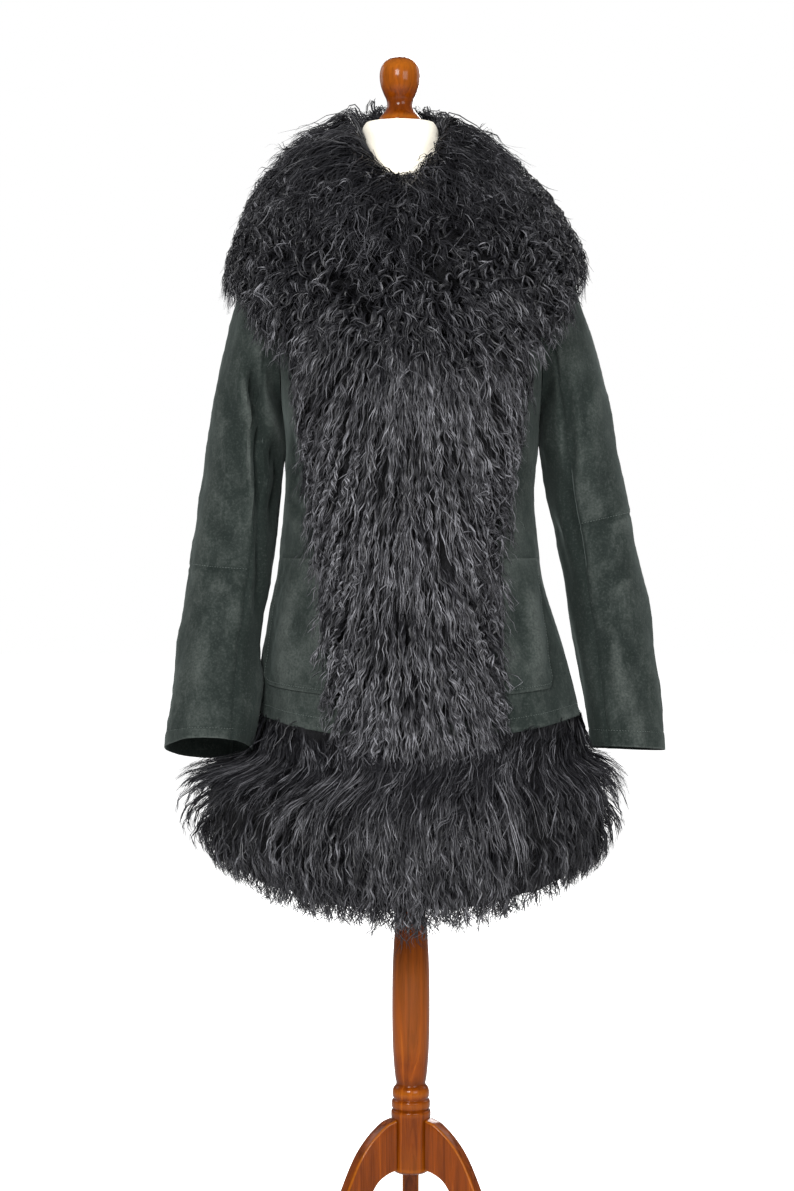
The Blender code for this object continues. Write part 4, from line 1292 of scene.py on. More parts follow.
SLEEVE_CREASES = {
    Side.LEFT: table(
        Crease,
        (((0.17, 1.16), (0.182, 1.12), (0.186, 1.06), (0.184, 1.0)), 0.0055, 0.003),
        (((0.196, 1.15), (0.2, 1.1), (0.196, 1.05)), 0.008, 0.0018),
        (((0.176, 1.05), (0.184, 0.99), (0.196, 0.94), (0.205, 0.885)), 0.006, 0.0024),
        (((0.24, 0.99), (0.222, 0.972), (0.2, 0.962)), 0.008, 0.002),
        (((0.262, 0.93), (0.24, 0.915), (0.214, 0.906)), 0.008, 0.0016),
        (((0.215, 0.88), (0.222, 0.82), (0.226, 0.76)), 0.009, 0.0016),
        (((0.25, 0.86), (0.262, 0.8), (0.268, 0.75)), 0.011, 0.0014),
    ),
    Side.RIGHT: table(
        Crease,
        (((-0.184, 1.165), (-0.178, 1.1), (-0.166, 1.06), (-0.154, 1.005)), 0.006, 0.0054),
        (((-0.18, 1.13), (-0.176, 1.07), (-0.172, 1.01), (-0.172, 0.96)), 0.006, 0.0042),
        (
            ((-0.188, 1.17), (-0.181, 1.095), (-0.177, 1.02), (-0.176, 0.92), (-0.18, 0.82)),
            0.0045, 0.003,
        ),
        (((-0.21, 1.15), (-0.206, 1.09), (-0.2, 1.03)), 0.009, 0.0018),
        (((-0.24, 0.985), (-0.222, 0.965), (-0.198, 0.955)), 0.008, 0.0018),
        (((-0.248, 0.935), (-0.226, 0.918), (-0.2, 0.912)), 0.008, 0.0014),
        (((-0.214, 0.9), (-0.226, 0.83), (-0.23, 0.77)), 0.01, 0.0016),
    ),
}
# Height, half height and depth of the soft bulges on a sleeve's inner side.
INNER_BULGES = {
    Side.LEFT: ((1.098, 0.060, 0.0080),),
    Side.RIGHT: ((1.075, 0.075, 0.0080), (0.775, 0.075, 0.0085)),
}


@dataclass
class Sleeve:
    """A two-piece sleeve, its top half pieced across below the elbow, with its seams and hem."""

    room: Workroom
    finishes: Wardrobe
    side: Side
    around: float = 4.2
    upper_rows: int = 54
    lower_rows: int = 50
    cuff_hem: float = 0.020
    section_step: float = 0.0545
    piecing_step: float = 0.055
    head_lap: float = 0.0016
    head_reach: float = 1.0
    head_off: float = 0.0013
    waves: float = 0.0009
    nubs: float = 0.00022
    front_seam: tuple[float, float] = (105.0, 126.0)
    back_seam: tuple[float, float] = (105.0, 122.0)
    stitching: Stitching = field(default_factory=Stitching)

    def __post_init__(self) -> None:
        """Takes the side's own tables."""
        left = self.side is Side.LEFT
        self.table = np.array(LEFT_SLEEVE if left else RIGHT_SLEEVE)
        self.folds = LEFT_SLEEVE_FOLDS if left else RIGHT_SLEEVE_FOLDS
        self.piecing = 5.95 if left else 7.10
        self.tilt = 0.006 if left else 0.0165
        self.last = float(len(self.table))
        self.hem_number = self.last - self.cuff_hem / self.section_step

    def armhole(self, angle: Array) -> Array:
        """The sleeve's first section, on the body."""
        turn = np.radians(angle)
        level = ARMHOLE_MIDDLE + (ARMHOLE_HALF_HEIGHT + self.head_lap) * np.cos(turn)
        reach = np.where(np.sin(turn) > 0, ARMHOLE_FRONT, ARMHOLE_BACK) + self.head_reach
        around = self.side.value * (90 - reach * np.sin(turn))
        return BODY_SURFACE.at(around, level) + self.head_off * BODY_SURFACE.normal(around, level)

    def section(self, angle: Array, row: Array) -> Array:
        """One section of the table."""
        turn = np.radians(angle)[..., None]
        outer = np.array([self.side.value * row[0], row[5], row[1]])
        inner = np.array([self.side.value * row[2], row[5], row[3]])
        depth = np.array([0.0, -row[4], 0.0])
        return (outer + inner) / 2 + np.cos(turn) * (outer - inner) / 2 + np.sin(turn) * depth

    def at(self, angle: float | Array, number: float | Array) -> Array:
        """Points at degrees from the outer line towards the front, and a section's number."""
        angle, number = np.broadcast_arrays(np.asarray(angle, float), np.asarray(number, float))
        lines = np.stack([self.armhole(angle)] + [self.section(angle, row) for row in self.table])
        slopes = np.gradient(lines, axis=0)
        k = np.clip(np.floor(number).astype(int), 0, len(self.table) - 1)
        t = (number - k)[..., None]
        pick, after = (k, *np.indices(angle.shape)), (k + 1, *np.indices(angle.shape))
        point = bridge(lines[pick], lines[after], slopes[pick], slopes[after], t)
        row = smooth(np.arange(1.0, len(self.table) + 1), self.table, np.maximum(number, 1))
        outer_x, outer_z, inner_x, inner_z, _, middle_y = np.moveaxis(row, -1, 0)
        middle_x, middle_z = self.side.value * (outer_x + inner_x) / 2, (outer_z + inner_z) / 2
        way = unit(point - np.stack([middle_x, middle_y, middle_z], -1))
        for fold in self.folds:
            point = off(point, way, fold.stands(angle, number))
        cuff = np.clip(number - (len(self.table) - 1), 0, 1)
        point[..., 2] += self.tilt * np.sin(np.radians(angle)) * cuff
        return point

    def relief(self, angle: Array, number: Array) -> tuple[Array, Array, Array]:
        """The plain surface, its normals, and how far the suede stands off it."""
        base = self.at(angle, number)
        inside = np.clip(number, 0.011, self.last - 0.011)
        across = self.at(angle + 1.0, inside) - self.at(angle - 1.0, inside)
        along = self.at(angle, inside + 0.01) - self.at(angle, inside - 0.01)
        normal = unit(np.cross(across, along)) * self.side.value
        lift = creased(base, normal, SLEEVE_CREASES[self.side])
        lift = lift + self.waves * ripple(base * (1, 1, 0.6), 0.048, 51 + self.side.value)
        lift = lift + self.nubs * ripple(base, 0.013, 61)
        lift = lift * ease(0.5, 2.0, number)
        inner = bump(turn_between(angle, 180) / 75)
        for height, half, depth in INNER_BULGES[self.side]:
            lift = lift + depth * bump((base[..., 2] - height) / half) * inner
        up = (self.last - number) * self.section_step
        lift = lift + 0.0005 * (1 - ease(self.cuff_hem - 0.001, self.cuff_hem + 0.001, up))
        return base, normal, lift - 0.0006 * bell(up - self.cuff_hem, 0.0012)

    def seams(self, number: Array) -> tuple[Array, Array]:
        """Degrees of the front seam and of the back seam at a section's number."""
        down = number / self.last
        front = self.front_seam[0] + (self.front_seam[1] - self.front_seam[0]) * down
        back = -self.back_seam[0] - (self.back_seam[1] - self.back_seam[0]) * down
        return front, back

    def piece(self, part: str, numbers: Array, under: bool) -> None:
        """Makes one piece of the sleeve.

        Args:
            part: what its name adds, which is its solid's too.
            numbers: section numbers of its rows.
            under: whether it is the under sleeve.
        """
        numbers = np.asarray(numbers)[:, None]
        front, back = self.seams(numbers)
        start, end = (front, back + 360) if under else (back, front)
        columns = round(float((end - start).max()) / self.around)
        share = np.linspace(0, 1, columns)[None, :]
        angles, numbers = start + (end - start) * share, numbers + 0 * share
        base, normal, lift = self.relief(angles, numbers)
        to_seam = np.minimum(share, 1 - share) * np.radians(end - start) * SLEEVE_RADIUS
        lift = lift - 0.0016 * bell(to_seam, 0.0026)
        lift = lift + 0.0004 * bell(to_seam - 0.0060, 0.0026)
        across = np.abs(numbers - self.piecing) * self.piecing_step
        if not under:
            lift = lift - 0.0005 * bell(across, 0.0016)
            lift = lift + 0.0004 * bell(across - 0.0050, 0.0022)
        outer = off(base, normal, lift)
        # Painted shade: the under sleeve and the side that faces the body are darkened, and so is
        # what sinks into creases; the sleeve begins a little darker than the body's panels, the
        # seams and the piecing are darker, and the cuff's edge is rubbed lighter.
        wear_and_shade = 0.42 + lift * 120 + 0.07 * ripple(base * (1, 1, 0.5), 0.12, 71)
        wear_and_shade = wear_and_shade + 0.06 * ripple(base, 0.04, 72) - 0.12 * under
        wear_and_shade = np.clip(wear_and_shade - 0.48 * ease(98, 150, np.abs(turn_between(angles, 0))), 0, 1)
        edge = (self.last - numbers) * self.section_step
        wear_and_shade = wear_and_shade + 0.3 * (edge < 0.0015) - 0.4 * bell(to_seam, 0.0032)
        wear_and_shade = np.clip(wear_and_shade if under else wear_and_shade - 0.2 * bell(across, 0.0025), 0, 1)
        name, walls = f"sleeve_{self.side.word}_{part}", (outer - SUEDE_WALL * normal, outer)
        obj = self.room.cloth(f"coat_{name}", walls, wear_and_shade, 0.15, self.finishes.suede)
        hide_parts(name)
        self.room.sheet(obj, base, Held.HUNG, [f"coat_front_{self.side.word}", "coat_back"])

    def stitches(self) -> None:
        """Stitches round the cuff and above the piecing seam."""
        rows = []
        turns = np.linspace(-180, 180, 260)
        front, back = self.seams(np.full(1, self.piecing))
        over = np.linspace(float(back[0]) + 2, float(front[0]) - 2, 200)
        for angles, number in ((turns, self.hem_number), (over, self.piecing - 0.055)):
            base, normal, lift = self.relief(angles, np.full(len(angles), number))
            rows.append(self.stitching.row(off(base, normal, lift + 0.0002), normal))
        name = f"sleeve_stitches_{self.side.word}"
        self.room.piece(name, joined(rows), self.finishes.thread, Slot.SUEDE)

    def make(self) -> None:
        """Makes the three pieces and the stitches."""
        close = np.array([0.0, 0.02, 0.05, 0.09])
        hem = self.hem_number + np.array([-0.03, 0, 0.03])
        upper = np.linspace(0, self.piecing, self.upper_rows)
        upper = np.unique(np.concatenate([upper, self.piecing - close]))
        lower = np.linspace(self.piecing, self.last, self.lower_rows)
        lower = np.concatenate([lower, self.piecing + close, hem, self.last - close])
        lower = np.unique(lower)
        whole = np.unique(np.concatenate([upper[::2], lower[::2], [self.last]]))
        self.piece("top_upper", upper, under=False)
        self.piece("top_lower", lower, under=False)
        self.piece("under", whole, under=True)
        self.stitches()


# ---- the fleece ----
@dataclass(frozen=True)
class Lock:
    """How one kind of lock grows. Lengths are in metres, leans in degrees from straight down.

    A wave has its height, its pitch and how far it coils; a lock has its girth and its strands,
    and a strand its width and its segments. The rest is how evenly they lie, how dark the painted
    shade at their roots is, and how bright the painted glints on their crests are.
    """

    length: float
    lean: float
    wave: float
    pitch: float
    coil: float
    girth: float
    strands: int
    width: float
    segments: int
    lean_spread: float = 14.0
    top: tuple[float, float] = (0.72, 1.08)
    flick: float = 0.010
    shade: float = 0.25
    rarity: float = 1.4
    glint: float = 0.30
    flare: float = 0.0


SWEPT = Lock(
    0.064, 13, 0.003, 0.026, 0.6, 0.008, 6, 0.00145, 9,
    top=(0.78, 1.12), flick=0.012, rarity=1.9, flare=0.12,
)
WISPS = Lock(
    0.046, 16, 0.0036, 0.021, 0.8, 0.0085, 5, 0.00115, 9,
    lean_spread=26, top=(0.95, 1.20), flick=0.010, flare=0.26,
)
NAPE = Lock(
    0.036, 6, 0.0036, 0.019, 0.9, 0.008, 6, 0.0013, 9,
    lean_spread=38, top=(0.60, 0.98), flick=0.007,
)
CURLS = Lock(
    0.033, 10, 0.0042, 0.02, 1.0, 0.0034, 4, 0.00175, 11,
    lean_spread=44, top=(0.80, 1.10), flick=0.003, rarity=1.9, glint=0.60,
)
RINGLET = Lock(
    0.046, 12, 0.0044, 0.017, 1.0, 0.0028, 3, 0.00175, 17,
    lean_spread=28, top=(0.85, 1.12), flick=0.004, rarity=1.5, glint=0.55,
)
WAVY = Lock(
    0.07, 26, 0.0015, 0.0205, 0.8, 0.0052, 5, 0.00145, 14,
    lean_spread=8, top=(0.72, 1.14), flick=0.006, shade=0.40, rarity=1.1, glint=0.55,
)
CRIMPED = Lock(
    0.05, 16, 0.0021, 0.0098, 0.9, 0.0024, 4, 0.0015, 22,
    lean_spread=8, top=(0.95, 1.14), flick=0.002, shade=0.5, rarity=1.0, glint=0.60,
)
LONG = Lock(
    0.052, -54, 0.0017, 0.018, 0.6, 0.006, 6, 0.00125, 8,
    lean_spread=13, top=(0.66, 1.12), flick=0.008, shade=0.42, rarity=1.75, glint=0.40,
)
TIPS = Lock(
    0.048, -4, 0.0022, 0.021, 0.6, 0.01, 8, 0.00095, 6,
    lean_spread=17, top=(0.20, 1.04), flick=0.009, shade=0.30, rarity=1.7, glint=0.35,
)


class Patchwork(NamedTuple):
    """A stretch of the fleece: its reach across and down the pelt, its locks, and how many."""

    across: tuple[float, float]
    down: tuple[float, float]
    lock: Lock
    count: int


class Guides(NamedTuple):
    """The middle lines of locks: their points, directions, lengths, and how high they lie."""

    line: Array
    side: Array
    up: Array
    reach: Array
    height: Array


class Hair(NamedTuple):
    """Strands: their middle lines, the directions of their breadth, breadths and two values."""

    points: Array
    breadth: Array
    widths: Array
    tone: Array
    along: Array


def beside(a: Array, middle: float, half: float) -> Array:
    """A soft hill at that many degrees from the front, on both sides."""
    return bump((np.abs(turn_between(a, 0)) - middle) / half)


@dataclass
class Pelt:
    """A piece of fleece between its skin and the outside of its locks.

    Both surfaces are read at degrees from the front and at a number that grows down the hair.
    """

    name: str
    node: str
    skin: Callable[[Array, Array], Array]
    pile: Callable[[Array, Array], Array]
    across: tuple[float, float]
    down: tuple[float, float]
    plan: Sequence[Patchwork]
    rests_on: Sequence[str]
    seed: int
    undercoat: float = 0.50
    edge_depth: float = 0.07
    top_depth: float = 0.26
    grid: tuple[int, int] = (46, 44)
    droop: float = 0.010
    outwards: float = 1.0
    parting: float = 14.0
    past_edge: float = 0.8
    lap: float = 0.7
    open_top: bool = False
    puff: float = 0.0
    sheet_trim: float = 0.15
    tuft_height: float = 0.0022
    felt: float = 0.0024
    thinned: float = 0.0
    tucked: float = 0.0
    raised: float = 0.0
    gloss: float = 1.0

    def place(self, a: Array, b: Array, depth: Array) -> Array:
        """Points at a share of the way from the skin to the outside, also past the lower edge."""
        at_front = bump(turn_between(a, 0) / 78)
        depth = depth * (1 - self.thinned * at_front * np.clip(1 - b / 2.8, 0, 1))
        depth = depth * (1 - self.tucked * beside(a, 92, 62) * ease(4.9, 6.8, b))
        held = np.clip(b, *self.down)
        held = held * (1 - self.raised * beside(a, 94, 56) * ease(2.5, 6.2, held))
        skin, pile = self.skin(a, held), self.pile(a, held)
        point = skin + (pile - skin) * depth[..., None]
        before = self.pile(a, held - 0.25)
        way = unit(unit(pile - before) * 0.5 + np.array([0.0, 0.0, -1.0]))
        past = np.maximum(b - self.down[1], 0)[..., None] * self.spacing
        return point + way * past

    @property
    def spacing(self) -> float:
        """Metres from one number to the next, about the lower edge."""
        a = np.linspace(*self.across, 9)
        low, high = (self.pile(a, np.full(9, self.down[1] - back)) for back in (0.0, 0.5))
        return float(np.linalg.norm(low - high, axis=-1).mean() / 0.5)

    def under_depth(self, b: Array) -> Array:
        """Depth of the undercoat, which thins to the pelt's edges."""
        share = np.clip((b - self.down[0]) / (self.down[1] - self.down[0]), 0, 1)
        share = 0.5 + 0.5 * share if self.open_top else share
        full = np.clip(np.sin(math.pi * share), 0, 1) ** 0.35
        depth = self.edge_depth + (self.undercoat - self.edge_depth) * full
        return depth + self.top_depth * ease(0.75, 0.5, share) * self.open_top

    def metric(self, a: Array, b: Array) -> tuple[Array, Array, Array]:
        """Metres for a degree across and for a number down, and the outward normal."""
        inside = np.clip(b, self.down[0] + 0.05, self.down[1] - 0.05)
        across = (self.pile(a + 1, inside) - self.pile(a - 1, inside)) / 2
        along = (self.pile(a, inside + 0.05) - self.pile(a, inside - 0.05)) / 0.1
        out = unit(np.cross(along, across))
        outwards = dot(out, self.pile(a, inside) - self.skin(a, inside))
        out = out * np.sign(outwards)[..., None]
        return np.linalg.norm(across, axis=-1), np.linalg.norm(along, axis=-1), out

    def matted(self, room: Workroom, finishes: Wardrobe) -> tuple[Piece, Array]:
        """The undercoat: a thin sheet with a tufted surface, half way up the pile."""
        rows, columns = self.grid
        lap = math.copysign(self.lap, self.across[1] - self.across[0])
        a, b = np.meshgrid(
            np.linspace(self.across[0] - lap, self.across[1] + lap, columns),
            np.linspace(self.down[0], self.down[1] - self.sheet_trim, rows),
        )
        base = self.place(a, b, self.under_depth(b))
        out = self.metric(a, b)[2]
        tufts = 0.5 * ripple(base * (1, 1, 0.4), 0.016, self.seed + 5)
        tufts = tufts + 0.5 * ripple(base * (1, 1, 0.5), 0.030, self.seed + 6)
        outer = off(base, out, self.tuft_height * tufts)
        # Painted shade: the tufts' heights go to the finish, which darkens the hollows between
        # them.
        walls, wear_and_shade = (outer - self.felt * out, outer), np.clip(0.5 + 0.45 * tufts, 0, 1)
        name = f"{self.name}_undercoat"
        return room.cloth(name, walls, wear_and_shade, 0.0, finishes.undercoat, Slot.FUR, 60), base

    def roots(self, stretch: Patchwork, rng: np.random.Generator) -> tuple[Array, Array]:
        """Spots for a stretch's locks, spread evenly over its area."""
        a = rng.uniform(*sorted(stretch.across), stretch.count * 5)
        b = rng.uniform(*stretch.down, stretch.count * 5)
        wide, long, _ = self.metric(a, b)
        chosen = rng.random(len(a)) < wide * long / (wide * long).max()
        return a[chosen][: stretch.count], b[chosen][: stretch.count]

    def guides(self, stretch: Patchwork, rng: np.random.Generator) -> Guides:
        """Lays the middle lines of a stretch's locks.

        Args:
            stretch: where they grow, and their kind.
            rng: draws their differences.

        Returns:
            The middle lines.
        """
        kind = stretch.lock
        a0, b0 = self.roots(stretch, rng)
        n = len(a0)
        t = np.linspace(0, 1, kind.segments + 1)[None, :]
        wide, long, _ = self.metric(a0, b0)
        size = rng.uniform(0.72, 1.22, n)
        turned = turn_between(a0, 0)
        front = np.clip(1.25 - np.abs(turned) / 150, 0, 1)
        parting = np.clip(turned / self.parting, -1, 1) * (np.abs(turned) < 120)
        lean = kind.lean * parting * front * self.outwards
        lean = np.radians(lean + kind.lean_spread * rng.normal(0, 1, n))
        share = 1 + 0.7 * bump(turned / 15) - 0.65 * ease(14, 46, np.abs(turned))
        past_edge = self.past_edge * share * rng.uniform(0.35, 1.2, n)
        room_left = (self.down[1] + past_edge - b0) * self.spacing
        reach = np.minimum(kind.length * size, np.maximum(room_left, 0.35 * kind.length))
        a = a0[:, None] + (reach * np.sin(lean) / wide)[:, None] * t
        b = b0[:, None] + (reach * np.cos(lean) / long)[:, None] * t**1.08
        root = self.under_depth(b0) * 0.8
        top = rng.uniform(*kind.top, n)
        depth = root[:, None] + (top - root)[:, None] * (1 - (1 - t) ** 2.0)
        depth = depth + kind.flare * rng.uniform(0, 1.6, n)[:, None] * t**2
        line = self.place(a, b, depth)
        past = np.clip((b - self.down[1]) * self.spacing, 0, None)
        line[..., 2] -= self.droop * t**2 + 0.15 * past
        out = self.metric(a, b)[2]
        high = 1 - ease(0.0, 0.42, (b0 - self.down[0]) / (self.down[1] - self.down[0]))
        high = high * (0.5 + 0.5 * ease(48, 84, np.abs(turned)))
        puff = self.puff * high * rng.uniform(0.3, 1.2, n)
        line = line + puff[:, None, None] * (t**1.3)[..., None] * out
        ahead = unit(np.gradient(line, axis=1))
        up = unit(out - dot(out, ahead)[..., None] * ahead)
        # How high each point lies in the pile; the finish darkens the lower hair by it, as painted
        # shade.
        height = np.clip(depth / np.maximum(top, 0.5)[:, None], 0.3, 1.1)
        return Guides(line, np.cross(ahead, up), up, reach, height)

    def locks(self, stretch: Patchwork, rng: np.random.Generator) -> Hair:
        """Grows the locks of a stretch.

        Args:
            stretch: where they grow, and their kind.
            rng: draws their differences.

        Returns:
            Their strands.
        """
        kind = stretch.lock
        line, side, up, reach, height = self.guides(stretch, rng)
        (n, k), m = line.shape[:2], kind.strands
        lock, strand = (n, 1, 1), (n, m, 1)
        t = np.linspace(0, 1, k)[None, None, :]
        side, up = side[:, None], up[:, None]
        start = rng.uniform(0, TURN, lock) + rng.normal(0, 0.34, strand)
        pitch = kind.pitch * rng.uniform(0.8, 1.25, lock) * rng.uniform(0.94, 1.06, strand)
        grow = ease(0.02, 0.45, t) * rng.uniform(0.55, 1.3, lock) * rng.uniform(0.75, 1.2, strand)
        turn = start + TURN * (t * reach[:, None, None]) / pitch
        sense = np.where(rng.random(lock) < 0.5, -1.0, 1.0)
        girth = kind.girth * rng.uniform(0.6, 1.3, lock) * (1 - 0.80 * ease(0.05, 0.9, t))
        spot, away = rng.uniform(0, TURN, strand), np.sqrt(rng.random(strand))
        stray = np.where(rng.random(strand) < 0.07, rng.uniform(1.5, 3.0, strand), 1.0)
        flick = kind.flick * rng.normal(0, 1, strand) * t**2.5 * stray
        sideways = girth * away * np.cos(spot) * stray + kind.wave * grow * np.sin(turn) + flick
        raised = girth * away * np.sin(spot) * 0.7
        raised = raised + kind.coil * kind.wave * grow * sense * np.cos(turn)
        lifted = np.abs(rng.normal(0, 0.5, strand))
        raised = raised + 0.6 * kind.flick * lifted * t**2 * stray
        points = line[:, None] + sideways[..., None] * side + raised[..., None] * up

        heading = unit(np.gradient(points, axis=2))
        roll = rng.normal(0, 0.75, strand) + rng.normal(0, 0.5, strand) * t
        facing = np.cos(roll)[..., None] * up + np.sin(roll)[..., None] * side
        taper = np.minimum(1.0, 0.6 + 4 * t) * (1 - 0.88 * t**3)
        widths = kind.width * taper * rng.uniform(0.7, 1.25, strand)
        tone = 0.50 * rng.random(lock) + 0.50 * rng.random(strand)
        tone = tone**kind.rarity * 1.18 * self.gloss + 0 * widths
        # Painted glints: strands are lighter where a curl's crest stands outermost.
        grey_and_painted_glint = ease(-0.5, 0.9, sense * np.cos(turn))
        # Painted shade: dark at the root and deep in the pile, lighter towards the tip.
        along = (kind.shade + (1 - kind.shade) * t) * height[:, None, :]
        along = along * (1 - kind.glint + 1.9 * kind.glint * grey_and_painted_glint)
        values = (value.reshape(n * m, k) for value in (widths, tone, along))
        breadth = unit(np.cross(heading, facing))
        return Hair(points.reshape(n * m, k, 3), breadth.reshape(n * m, k, 3), *values)

    @staticmethod
    def ribbons(hair: Hair) -> Patch:
        """Strands as tapering ribbons, two points for each of theirs."""
        half = 0.5 * hair.widths[..., None] * hair.breadth
        both = np.stack([hair.points - half, hair.points + half], 2)
        strands, k = hair.widths.shape
        step = 2 * np.arange(k - 1)
        one = np.stack([step, step + 1, step + 3, step + 2], -1)
        faces = (one[None] + 2 * k * np.arange(strands)[:, None, None]).reshape(-1, 4)
        return Patch(both.reshape(-1, 3), faces)

    def make(self, room: Workroom, finishes: Wardrobe) -> None:
        sheet, base = self.matted(room, finishes)
        rng = np.random.default_rng(self.seed)
        locks = []
        for number, stretch in enumerate(self.plan, 1):
            hair = self.locks(stretch, rng)
            values = {key: np.repeat(getattr(hair, key), 2) for key in ("tone", "along")}
            name = f"{self.name}_locks_{number}"
            locks.append(room.piece(name, self.ribbons(hair), finishes.lamb, Slot.FUR, **values))
        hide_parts(self.node)
        room.sheet(sheet, base, Held.DRAPED, self.rests_on, locks)


class Cut(NamedTuple):
    """How a side's fleece differs from the other's.

    The collar's lower edge is tucked in and raised at the side; the band is drawn in by a share
    all down it, and by a further share at its foot; and so many of its locks are crimped.
    """

    tucked: float
    raised: float
    drawn_in: float
    drawn_in_below: float
    crimped: int


CUTS = {Side.LEFT: Cut(0.30, 0.20, 0.07, 0.11, 40), Side.RIGHT: Cut(0.20, 0.11, 0.0, 0.12, 95)}


@dataclass
class Fleece:
    """All the lamb: the collar's two halves, a band down each front, and the hem's three pieces."""

    room: Workroom
    finishes: Wardrobe
    pile_edge: float = 0.006
    pile_rise: float = 0.034
    band_top: float = 1.135
    band_step: float = 0.10
    band_foot: float = 0.753

    def collar(self, side: Side) -> Pelt:
        """Half of the collar."""
        s = side.value
        plan = (
            Patchwork((0, 180 * s), (0.0, 1.6), SWEPT, 170),
            Patchwork((0, 70 * s), (1.0, 3.4), SWEPT, 110),
            Patchwork((62 * s, 180 * s), (0.8, 6.6), SWEPT, 240),
            Patchwork((-5 * s, 50 * s), (1.3, 5.9), CURLS, 470),
            Patchwork((46 * s, 76 * s), (2.4, 6.9), CURLS, 230),
            Patchwork((72 * s, 180 * s), (3.4, 6.9), CURLS, 120),
            Patchwork((0, 150 * s), (2.6, 6.9), RINGLET, 110),
            Patchwork((-6 * s, 56 * s), (4.6, 6.9), WAVY, 165),
            Patchwork((50 * s, 130 * s), (1.7, 4.6), WISPS, 90),
            Patchwork((150 * s, 180 * s), (1.0, 4.4), WISPS, 20),
            Patchwork((95 * s, 180 * s), (0.0, 0.8), NAPE, 75),
        )
        return Pelt(
            f"lamb_collar_{side.word}", f"fur_collar_{side.word}", RingedSurface(COLLAR_SKIN).at,
            RingedSurface(COLLAR_FUR).at, (0.0, 180.0 * s), (0.0, 7.0), plan,
            (f"coat_front_{side.word}", "coat_back"), 100 + s, open_top=True, thinned=0.62,
            gloss=0.80, tucked=CUTS[side].tucked, raised=CUTS[side].raised,
        )

    def band_surface(self, side: Side, share: float) -> Callable[[Array, Array], Array]:
        """A front band's skin, at share 0, or the outside of its locks, at share 1.

        Args:
            side: which front.
            share: 0 or 1.

        Returns:
            The surface, at degrees that are 0 at the middle and 100 at the band's edge.
        """

        def at(a: Array, b: Array) -> Array:
            """Its points."""
            across = np.clip(a * side.value / 100, -0.12, 1.35)
            level = self.band_top - self.band_step * b
            way = CUTS[side]
            across = across * (1 - way.drawn_in - way.drawn_in_below * ease(0.95, 0.79, level))
            angle = front_edges(side, level)[0] * across * side.value
            base, normal = BODY_SURFACE.at(angle, level), BODY_SURFACE.normal(angle, level)
            pile = self.pile_edge + self.pile_rise * np.sqrt(np.clip(1 - across**2, 0, 1))
            pile = pile * (0.6 + 0.4 * ease(0.750, 0.80, level))
            return off(base, normal, LAID + (pile - LAID) * share)

        return at

    def band(self, side: Side) -> Pelt:
        """The fur down one front."""
        s = side.value
        low = (self.band_top - self.band_foot) / self.band_step
        plan = (
            Patchwork((-7 * s, 97 * s), (-0.4, low), WAVY, 345),
            Patchwork((-7 * s, 97 * s), (low - 0.8, low), WAVY, 40),
            Patchwork((30 * s, 96 * s), (0.2, low), CRIMPED, CUTS[side].crimped),
            Patchwork((66 * s, 98 * s), (0.2, low), CURLS, 50),
        )
        return Pelt(
            f"lamb_front_{side.word}", f"fur_front_{side.word}", self.band_surface(side, 0.0),
            self.band_surface(side, 1.0), (0.0, 100.0 * s), (-0.45, low), plan,
            (f"coat_front_{side.word}",), 200 + s, undercoat=0.45, grid=(54, 24), droop=0.006,
            outwards=2.4, parting=85.0, past_edge=1.5, gloss=1.12,
        )

    def hem(self, part: str, across: tuple[float, float], counts: Sequence[int], seed: int) -> Pelt:
        """A piece of the hem.

        Args:
            part: the suede panel that it is sewn to, which its name ends in.
            across: degrees of its ends.
            counts: its locks of long hair, of tips, and of hair at its top.
            seed: picks its locks' differences.

        Returns:
            The piece.
        """
        plan = (
            Patchwork(across, (0.0, 2.7), LONG, counts[0] // 2),
            Patchwork(across, (2.5, 5.6), replace(LONG, lean=-18), counts[0] // 2),
            Patchwork(across, (4.0, 6.8), TIPS, counts[1]),
            Patchwork(across, (-0.5, 1.1), replace(LONG, lean=-30), counts[2]),
        )
        if across[0] == 0.0:
            s = math.copysign(1.0, across[1])
            wavy = replace(WAVY, lean=14)
            plan += (Patchwork((-3 * s, 30 * s), (0.1, 5.9), wavy, 185),)
        columns = round(abs(across[1] - across[0]) * 0.30) + 8
        return Pelt(
            f"lamb_hem_{part}", f"fur_hem_{part}", RingedSurface(HEM_SKIN).at,
            RingedSurface(HEM_FUR).at, across, (0.0, 7.0), plan, (f"coat_{part}",), seed,
            undercoat=0.55, grid=(34, columns), droop=0.004, outwards=0.60, past_edge=1.5,
            puff=0.021, sheet_trim=0.8, gloss=0.90,
        )

    def make(self) -> None:
        """Makes every piece of the fleece."""
        pelts = [self.collar(side) for side in Side] + [self.band(side) for side in Side]
        for seed, side in enumerate(Side, 301):
            across = (0.0, 90.0 * side.value)
            pelts.append(self.hem(f"front_{side.word}", across, (300, 270, 125), seed))
        pelts.append(self.hem("back", (90.0, 270.0), (380, 290, 105), 303))
        for pelt in pelts:
            pelt.make(self.room, self.finishes)


